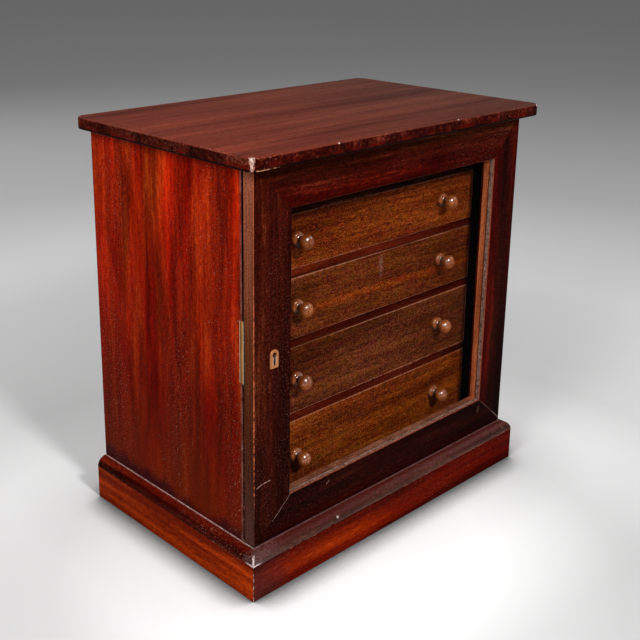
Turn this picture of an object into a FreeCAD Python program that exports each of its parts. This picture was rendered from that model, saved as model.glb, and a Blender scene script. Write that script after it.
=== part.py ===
"""Table-top specimen cabinet: a mahogany case with four drawers behind one glazed, locking door.

Millimetres. X runs across the front, Y from the front to the back, Z up.
The origin is the centre of the base on the surface that the cabinet stands on.
Everything is drawn closed, as it stands on a table.
"""
import FreeCAD, Part
import math
import os

# Case, measured over its outside faces
case_width = 400.0
carcass_depth = 239.5
side_thickness = 14.0
bottom_thickness = 12.0
inner_top_thickness = 12.0
housing_depth = 4.0
back_thickness = 8.0
back_rebate = 8.0
frieze_height = 51.6
frieze_thickness = 12.0

# Overhanging top board
top_thickness = 12.5
top_overhang_side = 16.5
top_overhang_front = 16.5
top_overhang_back = 5.5
top_corner_radius = 12.0
top_edge_round = 1.4

# Plinth under the case and the moulding that covers the joint
plinth_height = 38.5
plinth_thickness = 18.0
plinth_projection = 11.5
moulding_height = 11.0
glue_block = 13.0
glue_block_height = 30.0

# Door: four mitred members round one pane
door_thickness = 14.0
door_back_gap = 0.5
door_top_gap = 0.6
door_bottom_gap = 0.8
lock_stile_width = 47.0
hinge_stile_width = 43.0
door_top_rail_width = 44.0
door_bottom_rail_width = 40.5
arris_round = 0.6
glass_setback = 5.2
glass_thickness = 2.0
glass_play = 0.4
rebate_width = 6.5
bead_recess = 0.6

# Drawers, counted from the top
drawer_count = 4
top_drawer_height = 56.0
drawer_height_step = 8.0
drawer_setback = 22.0
drawer_play_side = 0.5
drawer_play_top = 1.2
drawer_play_bottom = 0.4
drawer_back_gap = 5.5
drawer_front_thickness = 12.0
drawer_side_thickness = 8.0
drawer_side_drop = 4.0
drawer_bottom_thickness = 4.0
drawer_bottom_lift = 5.0
groove_depth = 3.0
lap_thickness = 4.0
tail_spread = 1.2
tail_pitch = 24.0
pin_width = 4.0

# Framing that carries the drawers
lining_thickness = 16.0
rail_thickness = 8.0
rail_depth = 40.0
runner_width = 20.0
kicker_height = 8.0
stop_length = 22.0
stop_depth = 8.0
stop_height = 3.6
stop_play = 0.3

# Turned knobs: radii, and heights above the drawer front
knob_end_distance = 57.5
knob_rise = 2.5
spigot_radius = 3.2
collar_edge_radius = 7.2
collar_radius = 7.8
collar_height = 5.0
neck_radius = 3.5
neck_flare = 1.0
neck_level = 7.0
ball_radius = 7.8
ball_half_height = 6.0
ball_level = 14.9
ball_points = 13
boss_radius = 2.6
boss_tip_radius = 2.1
boss_rise = 0.8

# Butt hinges
hinge_inset = 62.0
hinge_length = 38.0
leaf_width = 11.0
leaf_thickness = 1.2
knuckle_radius = 2.2
knuckle_clearance = 0.3
knuckle_count = 5
knuckle_play = 0.15
leaf_clearance = 0.4
pin_radius = 1.0
pin_play = 0.05
pin_cap_radius = 1.7
pin_cap_height = 0.9

# Lock in the door
lock_rise = 199.0
lock_plate_thickness = 1.5
lock_plate_flange = 5.0
lock_case_margin = 2.0
lock_rebate_clearance = 4.5
lock_case_height = 60.0
lock_case_depth = 6.5
lock_case_wall = 1.2
keyhole_margin = 8.5
keyhole_drop = 8.3
keyhole_rise = 4.2
keyhole_radius = 2.5
keyhole_slot_width = 2.8
keyhole_slot_length = 10.8
key_pin_radius = 1.2
key_pin_length = 9.5
escutcheon_radius = 5.6
escutcheon_height = 19.0
escutcheon_foot_radius = 1.6
escutcheon_depth = 1.7
escutcheon_proud = 0.7
escutcheon_round = 0.6

# Plate on the case, with the two loops that enter the lock
link_height = 62.5
link_thickness = 2.0
link_margin = 1.0
link_lip_width = 5.2
link_lip_thickness = 1.5
loop_inset = 16.0
loop_width = 7.0
loop_height = 4.0
loop_tip_gap = 1.0
loop_leg = 1.5
loop_bridge = 1.2
loop_play = 0.5

# Bolt with two prongs that rise through the loops
bolt_play = 0.3
bolt_prong_play = 0.4
bolt_prong_length = 6.0
bolt_prong_gap = 1.0
bolt_arm_height = 4.0
bolt_spine_width = 5.0
bolt_spine_gap = 2.5
bolt_spine_tail = 8.0
talon_radius = 2.4
spring_thickness = 0.5
spring_length = 16.0

# Screws, each kind with its head radius, shank radius and length
hinge_screw_head = 1.9
hinge_screw_shank = 0.9
hinge_screw_length = 9.0
hinge_screw_spacing = 13.0
lock_screw_head = 1.9
lock_screw_shank = 0.9
lock_screw_length = 8.5
lock_screw_margin = 2.6
link_screw_head = 2.4
link_screw_shank = 1.2
link_screw_length = 16.0
link_screw_margin = 6.0
back_screw_head = 3.2
back_screw_shank = 1.6
back_screw_length = 22.0
back_screw_rows = 5
back_screw_margin = 30.0
top_screw_head = 3.6
top_screw_shank = 1.8
top_screw_length = 19.0
top_screw_inset = 48.0
screw_slot_width = 0.6
screw_slot_depth = 0.5

# Levels, from the floor of the case up through the stack of drawers
moulding_top = plinth_height + moulding_height
floor_z = moulding_top + bottom_thickness
drawer_heights = [top_drawer_height + drawer_height_step * i for i in range(drawer_count)]
drawer_bottoms = []
level = floor_z + drawer_play_bottom
for height in reversed(drawer_heights):
    drawer_bottoms.insert(0, level)
    level = level + height + drawer_play_top + rail_thickness + drawer_play_bottom
frieze_bottom = drawer_bottoms[0] + drawer_heights[0] + drawer_play_top
inner_top_bottom = frieze_bottom + frieze_height
case_top = inner_top_bottom + inner_top_thickness
total_height = case_top + top_thickness

# Places from front to back, with the whole depth centred on the origin
total_depth = top_overhang_front + door_thickness + door_back_gap + carcass_depth + top_overhang_back
door_front = -total_depth / 2 + top_overhang_front
door_back = door_front + door_thickness
case_front = door_back + door_back_gap
case_back = case_front + carcass_depth
panel_front = case_back - back_thickness
drawer_front = case_front + drawer_setback
drawer_inside = drawer_front + drawer_front_thickness
drawer_back = panel_front - drawer_back_gap
plinth_front_y = door_front - plinth_projection

# Places from left to right
case_half = case_width / 2
inner_half = case_half - side_thickness
clear_half = inner_half - lining_thickness
drawer_half = clear_half - drawer_play_side
plinth_half = case_half + plinth_projection
knob_x = drawer_half - knob_end_distance

# Door outline, sight opening and pane
door_bottom = moulding_top + door_bottom_gap
door_top = case_top - door_top_gap
sight_left = -case_half + lock_stile_width
sight_right = case_half - hinge_stile_width
sight_bottom = door_bottom + door_bottom_rail_width
sight_top = door_top - door_top_rail_width
glass_front = door_front + glass_setback
glass_back = glass_front + glass_thickness
bead_back = door_back - bead_recess

# Hinge line: outside the right-hand edge, midway between the door and the case
hinge_x = case_half + knuckle_clearance + knuckle_radius
hinge_y = (door_back + case_front) / 2
hinge_levels = [door_bottom + hinge_inset, door_top - hinge_inset]

# Lock place: as wide as the stile leaves room for, with a plate that covers it
lock_z = door_bottom + lock_rise
plate_inner = door_back - lock_plate_thickness
lock_floor = plate_inner - lock_case_depth
lock_case_left = -case_half + lock_case_margin
lock_case_right = sight_left - rebate_width - lock_rebate_clearance - lock_case_margin
lock_plate_right = lock_case_right + lock_case_margin
lock_plate_half = lock_case_height / 2 + lock_plate_flange
keyhole_x = lock_case_right - keyhole_margin
keyhole_z = lock_z - keyhole_drop
key_pin_z = keyhole_z + keyhole_rise

# Loops on the case: they stop just short of the floor of the lock case
link_right = -inner_half - link_margin
loop_x = -case_half + side_thickness / 2
loop_levels = [lock_z - lock_case_height / 2 + loop_inset, lock_z + lock_case_height / 2 - loop_inset]
loop_tip = lock_floor + lock_case_wall + loop_tip_gap

# Bolt: it has the play on both sides between the lock plate and the bridges of the loops
bolt_back = plate_inner - bolt_play
bolt_front = loop_tip + loop_bridge + bolt_play
bolt_prong_half = loop_width / 2 - loop_leg - bolt_prong_play
spine_left = loop_x + loop_width / 2 + loop_play + bolt_spine_gap
spine_right = spine_left + bolt_spine_width


def vec(x, y, z):
    return FreeCAD.Vector(x, y, z)


def box(x0, x1, y0, y1, z0, z1):
    return Part.makeBox(x1 - x0, y1 - y0, z1 - z0, vec(x0, y0, z0))


def prism(points, push):
    """A closed outline of straight lines pushed along a vector."""
    return Part.Face(Part.makePolygon(points + [points[0]])).extrude(push)


def plan_prism(points, z0, z1):
    return prism([vec(x, y, z0) for x, y in points], vec(0, 0, z1 - z0))


def front_prism(points, y0, y1):
    return prism([vec(x, y0, z) for x, z in points], vec(0, y1 - y0, 0))


def side_prism(points, x0, x1):
    return prism([vec(x0, y, z) for y, z in points], vec(x1 - x0, 0, 0))


def rod(x, y, z, radius, length, direction):
    return Part.makeCylinder(radius, length, vec(x, y, z), direction)


def mirrored(shape):
    return shape.mirror(vec(0, 0, 0), vec(1, 0, 0))


def cut_all(shape, tools):
    for tool in tools:
        shape = shape.cut(tool)
    return shape


def near(a, b):
    return abs(a - b) < 0.01


def rounded(shape, radius, axis, wanted):
    """Rounds the straight edges that run along an axis and whose middle point passes the test."""
    edges = []
    for edge in shape.Edges:
        start = edge.Vertexes[0].Point
        end = edge.Vertexes[-1].Point
        along = near(abs((end - start).dot(axis)), edge.Length)
        if along and wanted((start + end) * 0.5):
            edges.append(edge)
    return shape.makeFillet(radius, edges)


def pointed_along(shape, place, direction):
    """Turns a shape drawn up the Z axis to point along a direction from a place."""
    shape.Placement = FreeCAD.Placement(vec(*place), FreeCAD.Rotation(vec(0, 0, 1), direction))
    return shape


def screw_body(head, shank, length):
    """A countersunk head, flush at level nought, and its shank."""
    cone = Part.makeCone(head, shank, head - shank)
    return cone.fuse(Part.makeCylinder(shank, length)).removeSplitter()


def screws(places, direction, head, shank, length):
    """Slotted countersunk screws; each place is the middle of a flush head."""
    slot = box(-head, head, -screw_slot_width / 2, screw_slot_width / 2, 0, screw_slot_depth)
    return [pointed_along(screw_body(head, shank, length).cut(slot), place, direction) for place in places]


def screw_holes(places, direction, head, shank, length):
    return [pointed_along(screw_body(head, shank, length), place, direction) for place in places]


# Screw places, and the directions that screws are driven in
back_screw_span = case_top - moulding_top - 2 * back_screw_margin
back_screw_pitch = back_screw_span / (back_screw_rows - 1)
back_screw_zs = [moulding_top + back_screw_margin + back_screw_pitch * i for i in range(back_screw_rows)]
back_screw_x = inner_half + back_rebate / 2
back_screw_places = [(side * back_screw_x, case_back, z) for side in (-1, 1) for z in back_screw_zs]
top_screw_x = inner_half - top_screw_inset
top_screw_front = case_front + top_screw_inset
top_screw_back = panel_front - top_screw_inset
top_screw_ys = [top_screw_front, (top_screw_front + top_screw_back) / 2, top_screw_back]
top_screw_places = [(side * top_screw_x, y, inner_top_bottom) for side in (-1, 1) for y in top_screw_ys]
leaf_middle = case_half - leaf_width / 2
hinge_screw_zs = [z + hinge_screw_spacing * step for z in hinge_levels for step in (-1, 0, 1)]
case_hinge_screw_places = [(leaf_middle, case_front, z) for z in hinge_screw_zs]
door_hinge_screw_places = [(leaf_middle, door_back, z) for z in hinge_screw_zs]
link_screw_x = (link_right - case_half) / 2
link_screw_reach = link_height / 2 - link_screw_margin
link_screw_places = [(link_screw_x, case_front, lock_z + side * link_screw_reach) for side in (-1, 1)]
lock_screw_reach = lock_plate_half - lock_screw_margin
lock_screw_pitch = (lock_plate_right + case_half) / 4
lock_screw_xs = [-case_half + lock_screw_pitch, lock_plate_right - lock_screw_pitch]
lock_screw_zs = [lock_z - lock_screw_reach, lock_z + lock_screw_reach]
lock_screw_places = [(x, door_back, z) for x in lock_screw_xs for z in lock_screw_zs]
across = vec(1, 0, 0)
into_case = vec(0, 1, 0)
into_door = vec(0, -1, 0)
upwards = vec(0, 0, 1)


def back_screw_set(make):
    return make(back_screw_places, into_door, back_screw_head, back_screw_shank, back_screw_length)


def top_screw_set(make):
    return make(top_screw_places, upwards, top_screw_head, top_screw_shank, top_screw_length)


def link_screw_set(make):
    return make(link_screw_places, into_case, link_screw_head, link_screw_shank, link_screw_length)


def lock_screw_set(make):
    return make(lock_screw_places, into_door, lock_screw_head, lock_screw_shank, lock_screw_length)


def case_hinge_screw_set(make):
    return make(case_hinge_screw_places, into_case, hinge_screw_head, hinge_screw_shank, hinge_screw_length)


def door_hinge_screw_set(make):
    return make(door_hinge_screw_places, into_door, hinge_screw_head, hinge_screw_shank, hinge_screw_length)


# Overhanging top board: round corners in plan, and both edges eased
def top_board():
    half_x = case_half + top_overhang_side
    half_y = total_depth / 2
    board = box(-half_x, half_x, -half_y, half_y, case_top, total_height)
    board = rounded(board, top_corner_radius, upwards, lambda p: True)
    rims = [edge for edge in board.Edges if near(edge.BoundBox.ZMin, edge.BoundBox.ZMax)]
    board = board.makeFillet(top_edge_round, rims)
    return cut_all(board, top_screw_set(screw_holes))


# Inner top, housed between the sides; the screws that hold the top board go up through it
def inner_top():
    reach = inner_half + housing_depth
    board = box(-reach, reach, case_front, panel_front, inner_top_bottom, case_top)
    return cut_all(board, top_screw_set(screw_holes))


# Bottom board, housed between the sides
def bottom_board():
    reach = inner_half + housing_depth
    return box(-reach, reach, case_front, panel_front, moulding_top, floor_z)


def side_blank():
    """The left side, housed for the two boards and rebated for the back."""
    housing = -inner_half - housing_depth
    rebate = -inner_half - back_rebate
    side = box(-case_half, -inner_half, case_front, case_back, plinth_height, case_top)
    side = side.cut(box(housing, -inner_half, case_front, panel_front, inner_top_bottom, case_top))
    side = side.cut(box(housing, -inner_half, case_front, panel_front, moulding_top, floor_z))
    side = side.cut(box(rebate, -inner_half, panel_front, case_back, plinth_height, case_top))
    return cut_all(side, back_screw_set(screw_holes))


# Left side, cut for the plate with the two loops
def side_left():
    side = side_blank().cut(link_angle())
    return cut_all(side, link_screw_set(screw_holes))


# Right side, with a seat in its front edge for each hinge leaf
def side_right():
    side = mirrored(side_blank())
    side = cut_all(side, leaf_seats(case_front, case_front + leaf_thickness))
    return cut_all(side, case_hinge_screw_set(screw_holes))


# Back panel, screwed into the rebates of the sides
def back_panel():
    reach = inner_half + back_rebate
    panel = box(-reach, reach, panel_front, case_back, plinth_height, case_top)
    return cut_all(panel, back_screw_set(screw_holes))


# Frieze rail above the top drawer
def frieze_rail():
    back = drawer_front + frieze_thickness
    return box(-clear_half, clear_half, drawer_front, back, frieze_bottom, inner_top_bottom)


# Upright linings beside the drawers, which bring them in clear of the door frame
def lining_left():
    return box(-inner_half, -clear_half, drawer_front, panel_front, floor_z, inner_top_bottom)


def lining_right():
    return mirrored(lining_left())


# Rail under a drawer, counted from the top
def divider_rail(index):
    top = drawer_bottoms[index] - drawer_play_bottom
    rail = box(-clear_half, clear_half, drawer_front, drawer_front + rail_depth, top - rail_thickness, top)
    return rounded(rail, arris_round, across, lambda p: near(p.y, drawer_front))


# Runners behind the rails, and two kickers that keep the top drawer level as it is drawn
def drawer_runners():
    inner = -clear_half + runner_width
    rail_back = drawer_front + rail_depth
    strips = []
    for bottom in drawer_bottoms[:-1]:
        top = bottom - drawer_play_bottom
        strips.append(box(-clear_half, inner, rail_back, panel_front, top - rail_thickness, top))
    kicker_top = frieze_bottom + kicker_height
    frieze_back = drawer_front + frieze_thickness
    strips.append(box(-clear_half, inner, frieze_back, panel_front, frieze_bottom, kicker_top))
    return strips + [mirrored(strip) for strip in strips]


# Stop blocks, two to a drawer, glued just behind its front
def drawer_stops():
    near_y = drawer_inside + stop_play
    blocks = []
    for bottom in drawer_bottoms:
        base = bottom - drawer_play_bottom
        blocks.append(box(-knob_x - stop_length / 2, -knob_x + stop_length / 2, near_y, near_y + stop_depth,
                          base, base + stop_height))
    return blocks + [mirrored(block) for block in blocks]


# Plinth boards, mitred at the two front corners, with their upper arrises eased
def plinth_front():
    inner = plinth_half - plinth_thickness
    back = plinth_front_y + plinth_thickness
    plan = [(-plinth_half, plinth_front_y), (plinth_half, plinth_front_y), (inner, back), (-inner, back)]
    board = plan_prism(plan, 0, plinth_height)
    return rounded(board, arris_round, across, lambda p: near(p.y, plinth_front_y))


def plinth_left():
    inner = plinth_half - plinth_thickness
    corner = plinth_front_y + plinth_thickness
    plan = [(-plinth_half, plinth_front_y), (-inner, corner), (-inner, case_back), (-plinth_half, case_back)]
    board = plan_prism(plan, 0, plinth_height)
    return rounded(board, arris_round, into_case, lambda p: near(p.x, -plinth_half))


def plinth_right():
    return mirrored(plinth_left())


def plinth_back():
    inner = plinth_half - plinth_thickness
    return box(-inner, inner, case_back - plinth_thickness, case_back, 0, plinth_height)


# Square blocks glued in the four inside corners of the plinth
def plinth_blocks():
    outer = -plinth_half + plinth_thickness
    front = plinth_front_y + plinth_thickness
    back = case_back - plinth_thickness - glue_block
    low = plinth_height - glue_block_height
    blocks = [box(outer, outer + glue_block, y, y + glue_block, low, plinth_height) for y in (front, back)]
    return blocks + [mirrored(block) for block in blocks]


def ovolo_strip(place, outer, inner, flat_end, run):
    """A moulding blank: a quarter round from its outer foot up to the inner top, and a flat part behind."""
    half = math.sqrt(0.5)
    middle = place(inner + (outer - inner) * half, plinth_height + moulding_height * half)
    arc = Part.Arc(place(outer, plinth_height), middle, place(inner, moulding_top)).toShape()
    corners = [place(inner, moulding_top), place(flat_end, moulding_top), place(flat_end, plinth_height),
               place(outer, plinth_height)]
    return Part.Face(Part.Wire([arc] + Part.makePolygon(corners).Edges)).extrude(run)


# Front moulding: its flat part runs back under the door to the case, and its ends are mitred
def plinth_moulding_front():
    strip = ovolo_strip(lambda y, z: vec(-plinth_half, y, z), plinth_front_y, door_front, case_front,
                        vec(2 * plinth_half, 0, 0))
    plan = [(-plinth_half, plinth_front_y), (plinth_half, plinth_front_y), (case_half, door_front),
            (case_half, case_front), (-case_half, case_front), (-case_half, door_front)]
    return strip.common(plan_prism(plan, plinth_height, moulding_top))


# Side mouldings: the same quarter round, planted on the case sides and mitred to the front one
def plinth_moulding_left():
    strip = ovolo_strip(lambda x, z: vec(x, plinth_front_y, z), -plinth_half, -case_half, -inner_half,
                        vec(0, case_back - plinth_front_y, 0))
    plan = [(-plinth_half, plinth_front_y), (-case_half, door_front), (-case_half, case_back),
            (-plinth_half, case_back)]
    return strip.common(plan_prism(plan, plinth_height, moulding_top))


def plinth_moulding_right():
    return mirrored(plinth_moulding_left())


def link_angle():
    """The plate on the case without its loops: a face on the front edge and a lip on the outside."""
    low = lock_z - link_height / 2
    high = lock_z + link_height / 2
    edge = -case_half
    face = box(edge, link_right, case_front, case_front + link_thickness, low, high)
    lip = box(edge, edge + link_lip_thickness, case_front, case_front + link_lip_width, low, high)
    return face.fuse(lip).removeSplitter()


# Plate let into the front edge and the outer face of the left side, with two loops
def link_plate():
    plate = cut_all(link_angle(), link_screw_set(screw_holes))
    half = loop_width / 2
    inside = half - loop_leg
    for z in loop_levels:
        low = z - loop_height / 2
        high = z + loop_height / 2
        loop = box(loop_x - half, loop_x + half, loop_tip, case_front, low, high)
        hole = box(loop_x - inside, loop_x + inside, loop_tip + loop_bridge, case_front, low, high)
        plate = plate.fuse(loop.cut(hole))
    return plate.removeSplitter()


# Corners of the door and of its sight opening, as (x, z)
door_low_left = (-case_half, door_bottom)
door_high_left = (-case_half, door_top)
door_low_right = (case_half, door_bottom)
door_high_right = (case_half, door_top)
sight_low_left = (sight_left, sight_bottom)
sight_high_left = (sight_left, sight_top)
sight_low_right = (sight_right, sight_bottom)
sight_high_right = (sight_right, sight_top)


# Door members: fully mitred, rebated at the back for the pane and its beads
def door_member(points, axis, at_outer, at_sight):
    member = front_prism(points, door_front, door_back)
    member = member.cut(box(sight_left - rebate_width, sight_right + rebate_width, glass_front, door_back,
                            sight_bottom - rebate_width, sight_top + rebate_width))
    return rounded(member, arris_round, axis,
                   lambda p: near(p.y, door_front) and (at_outer(p) or at_sight(p)))


def leaf_seats(y0, y1):
    """The two shallow seats for the hinge leaves in an edge, between two depths."""
    return [box(case_half - leaf_width, case_half, y0, y1, z - hinge_length / 2, z + hinge_length / 2)
            for z in hinge_levels]


def keyhole(y0, y1):
    """A round hole with a slot hanging from it, cut from front to back."""
    hole = rod(keyhole_x, y0, key_pin_z, keyhole_radius, y1 - y0, into_case)
    slot = box(keyhole_x - keyhole_slot_width / 2, keyhole_x + keyhole_slot_width / 2, y0, y1,
               key_pin_z - keyhole_slot_length, key_pin_z)
    return hole.fuse(slot)


def lock_case_box(wall, y0, y1):
    """The outside of the lock case, or its inside when a wall is given."""
    reach = lock_case_height / 2 - wall
    return box(lock_case_left + wall, lock_case_right - wall, y0, y1, lock_z - reach, lock_z + reach)


def lock_plate_blank():
    return box(-case_half, lock_plate_right, plate_inner, door_back, lock_z - lock_plate_half,
               lock_z + lock_plate_half)


# Door stile on the lock side, hollowed from behind for the lock and pierced for the key
def door_lock_stile():
    points = [door_low_left, sight_low_left, sight_high_left, door_high_left]
    stile = door_member(points, upwards, lambda p: near(p.x, -case_half), lambda p: near(p.x, sight_left))
    tools = [lock_plate_blank(), lock_case_box(0, lock_floor, plate_inner), keyhole(door_front, lock_floor),
             escutcheon_blank()]
    return cut_all(stile, tools + lock_screw_set(screw_holes))


# Door stile on the hinge side
def door_hinge_stile():
    points = [door_low_right, sight_low_right, sight_high_right, door_high_right]
    stile = door_member(points, upwards, lambda p: near(p.x, case_half), lambda p: near(p.x, sight_right))
    stile = cut_all(stile, leaf_seats(door_back - leaf_thickness, door_back))
    return cut_all(stile, door_hinge_screw_set(screw_holes))


# Door rails
def door_top_rail():
    points = [door_high_left, sight_high_left, sight_high_right, door_high_right]
    return door_member(points, across, lambda p: near(p.z, door_top), lambda p: near(p.z, sight_top))


def door_bottom_rail():
    points = [door_low_left, sight_low_left, sight_low_right, door_low_right]
    return door_member(points, across, lambda p: near(p.z, door_bottom), lambda p: near(p.z, sight_bottom))


# Pane, a little smaller than its rebate
def glass_pane():
    reach = rebate_width - glass_play
    return box(sight_left - reach, sight_right + reach, glass_front, glass_back,
               sight_bottom - reach, sight_top + reach)


# Glazing beads: four mitred strips behind the pane, level with the edge of the sight opening
def glazing_beads():
    left = sight_left - rebate_width
    right = sight_right + rebate_width
    low = sight_bottom - rebate_width
    high = sight_top + rebate_width
    outlines = [
        [(left, low), sight_low_left, sight_high_left, (left, high)],
        [(right, low), sight_low_right, sight_high_right, (right, high)],
        [(left, high), sight_high_left, sight_high_right, (right, high)],
        [(left, low), sight_low_left, sight_low_right, (right, low)],
    ]
    return [front_prism(points, glass_back, bead_back) for points in outlines]


def escutcheon_blank():
    """The outline of the keyhole plate: round at the top, straight sides, a flat foot with round corners."""
    y0 = door_front - escutcheon_proud
    y1 = door_front + escutcheon_depth
    top_centre = keyhole_z + escutcheon_height / 2 - escutcheon_radius
    foot = box(keyhole_x - escutcheon_radius, keyhole_x + escutcheon_radius, y0, y1,
               keyhole_z - escutcheon_height / 2, top_centre)
    foot = rounded(foot, escutcheon_foot_radius, into_case, lambda p: p.z < keyhole_z - escutcheon_radius)
    return foot.fuse(rod(keyhole_x, y0, top_centre, escutcheon_radius, y1 - y0, into_case)).removeSplitter()


# Keyhole plate, let into the lock stile and standing a little proud with a rounded rim
def escutcheon():
    plate = escutcheon_blank()
    face = door_front - escutcheon_proud
    rim = [edge for edge in plate.Edges if near(edge.BoundBox.YMin, face) and near(edge.BoundBox.YMax, face)]
    return plate.makeFillet(escutcheon_round, rim).cut(keyhole(face, door_front + escutcheon_depth))


# Lock case: a shallow tray, open to the back, pierced for the key
def lock_case():
    tray = lock_case_box(0, lock_floor, plate_inner)
    tray = tray.cut(lock_case_box(lock_case_wall, lock_floor + lock_case_wall, plate_inner))
    return tray.cut(keyhole(lock_floor, lock_floor + lock_case_wall))


# Lock plate: closes the case, flush with the back of the door, slotted for the two loops
def lock_plate():
    plate = lock_plate_blank()
    half_x = loop_width / 2 + loop_play
    half_z = loop_height / 2 + loop_play
    slots = [box(loop_x - half_x, loop_x + half_x, plate_inner, door_back, z - half_z, z + half_z)
             for z in loop_levels]
    return cut_all(plate, slots + lock_screw_set(screw_holes))


# Pin that the hollow key turns on
def lock_pin():
    return rod(keyhole_x, plate_inner, key_pin_z, key_pin_radius, key_pin_length, into_door)


# Bolt: a spine with two arms, each carrying a prong that waits below its loop
def lock_bolt():
    prong_left = loop_x - bolt_prong_half
    prong_right = loop_x + bolt_prong_half
    arm_levels = []
    bolt = None
    for z in loop_levels:
        prong_top = z - loop_height / 2 - bolt_prong_gap
        arm_top = prong_top - bolt_prong_length
        arm_levels.append(arm_top - bolt_arm_height)
        arm = box(prong_left, spine_right, bolt_front, bolt_back, arm_top - bolt_arm_height, arm_top)
        prong = box(prong_left, prong_right, bolt_front, bolt_back, arm_top, prong_top)
        hook = arm.fuse(prong)
        bolt = hook if bolt is None else bolt.fuse(hook)
    spine_top = arm_levels[-1] + bolt_arm_height + bolt_spine_tail
    bolt = bolt.fuse(box(spine_left, spine_right, bolt_front, bolt_back, arm_levels[0], spine_top))
    talon = rod(spine_right, bolt_front, key_pin_z, talon_radius, bolt_back - bolt_front, into_case)
    return bolt.removeSplitter().cut(talon)


# Flat spring that hangs from the roof of the lock case beside the bolt
def lock_spring():
    roof = lock_z + lock_case_height / 2 - lock_case_wall
    left = spine_right + bolt_play
    return box(left, left + spring_thickness, bolt_front, bolt_back, roof - spring_length, roof)


def hinge_leaves(y0, y1, first):
    """A pair of leaves between two depths; the first knuckle tells which ones belong to the leaf."""
    segment = hinge_length / knuckle_count
    edge = hinge_x - knuckle_radius - leaf_clearance
    leaves = []
    for centre in hinge_levels:
        low = centre - hinge_length / 2
        leaf = box(case_half - leaf_width, edge, y0, y1, low, low + hinge_length)
        for index in range(first, knuckle_count, 2):
            z0 = low + segment * index + knuckle_play
            z1 = low + segment * (index + 1) - knuckle_play
            leaf = leaf.fuse(box(edge, hinge_x, y0, y1, z0, z1))
            leaf = leaf.fuse(rod(hinge_x, hinge_y, z0, knuckle_radius, z1 - z0, upwards))
        leaf = leaf.cut(rod(hinge_x, hinge_y, low, pin_radius + pin_play, hinge_length, upwards))
        leaves.append(leaf.removeSplitter())
    return leaves


# Hinge leaves on the case, with three knuckles each
def case_hinge_leaves():
    holes = case_hinge_screw_set(screw_holes)
    return [cut_all(leaf, holes) for leaf in hinge_leaves(case_front, case_front + leaf_thickness, 0)]


# Hinge leaves on the door, with two knuckles each
def door_hinge_leaves():
    holes = door_hinge_screw_set(screw_holes)
    return [cut_all(leaf, holes) for leaf in hinge_leaves(door_back - leaf_thickness, door_back, 1)]


# Hinge pins with a small cap at each end, held in the case knuckles
def hinge_pins():
    pins = []
    for centre in hinge_levels:
        low = centre - hinge_length / 2 + knuckle_play
        high = centre + hinge_length / 2 - knuckle_play
        pin = rod(hinge_x, hinge_y, low, pin_radius, high - low, upwards)
        pin = pin.fuse(rod(hinge_x, hinge_y, low - pin_cap_height, pin_cap_radius, pin_cap_height, upwards))
        pins.append(pin.fuse(rod(hinge_x, hinge_y, high, pin_cap_radius, pin_cap_height, upwards)))
    return pins


def tails(x0, x1, root_y, tip_y, z0, z1):
    """Dovetail tails on the end of a drawer side: narrow at the root, wide at the tip."""
    count = max(1, round((z1 - z0) / tail_pitch))
    pitch = (z1 - z0) / count
    tip_half = (pitch - pin_width) / 2
    root_half = tip_half - tail_spread
    shapes = []
    for index in range(count):
        z = z0 + pitch * (index + 0.5)
        root = [(root_y, z - root_half), (root_y, z + root_half)]
        tip = [(tip_y, z + tip_half), (tip_y, z - tip_half)]
        shapes.append(side_prism(root + tip, x0, x1))
    return shapes


def drawer_levels(index):
    """Underside of a drawer, the top of its front, the top of its sides, and the top of its bottom board."""
    low = drawer_bottoms[index]
    high = low + drawer_heights[index]
    return low, high, high - drawer_side_drop, low + drawer_bottom_lift + drawer_bottom_thickness


def front_tails(index):
    """The tails of the left drawer side that lap into the drawer front."""
    low, high, side_top, floor_top = drawer_levels(index)
    inner = -drawer_half + drawer_side_thickness
    return tails(-drawer_half, inner, drawer_inside, drawer_front + lap_thickness, low, side_top)


def back_tails(index):
    """The tails of the left drawer side that go right through the drawer back."""
    side_top, floor_top = drawer_levels(index)[2:]
    inner = -drawer_half + drawer_side_thickness
    return tails(-drawer_half, inner, drawer_back - drawer_side_thickness, drawer_back, floor_top, side_top)


# Drawer bottom: a thin board in grooves, running out under the drawer back
def drawer_bottom(index):
    low, high, side_top, floor_top = drawer_levels(index)
    reach = drawer_half - drawer_side_thickness + groove_depth
    return box(-reach, reach, drawer_inside - groove_depth, drawer_back, low + drawer_bottom_lift, floor_top)


# Drawer front, socketed for the sides, grooved for the bottom and bored for the knobs
def drawer_front_board(index):
    low, high, side_top, floor_top = drawer_levels(index)
    board = box(-drawer_half, drawer_half, drawer_front, drawer_inside, low, high)
    at_face = lambda p: near(p.y, drawer_front)
    board = rounded(board, arris_round, across, at_face)
    sockets = front_tails(index)
    board = cut_all(board, sockets + [mirrored(socket) for socket in sockets] + [drawer_bottom(index)])
    knob_z = (low + high) / 2 + knob_rise
    bores = [rod(side * knob_x, drawer_front, knob_z, spigot_radius, drawer_front_thickness, into_case)
             for side in (-1, 1)]
    return cut_all(board, bores)


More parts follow.
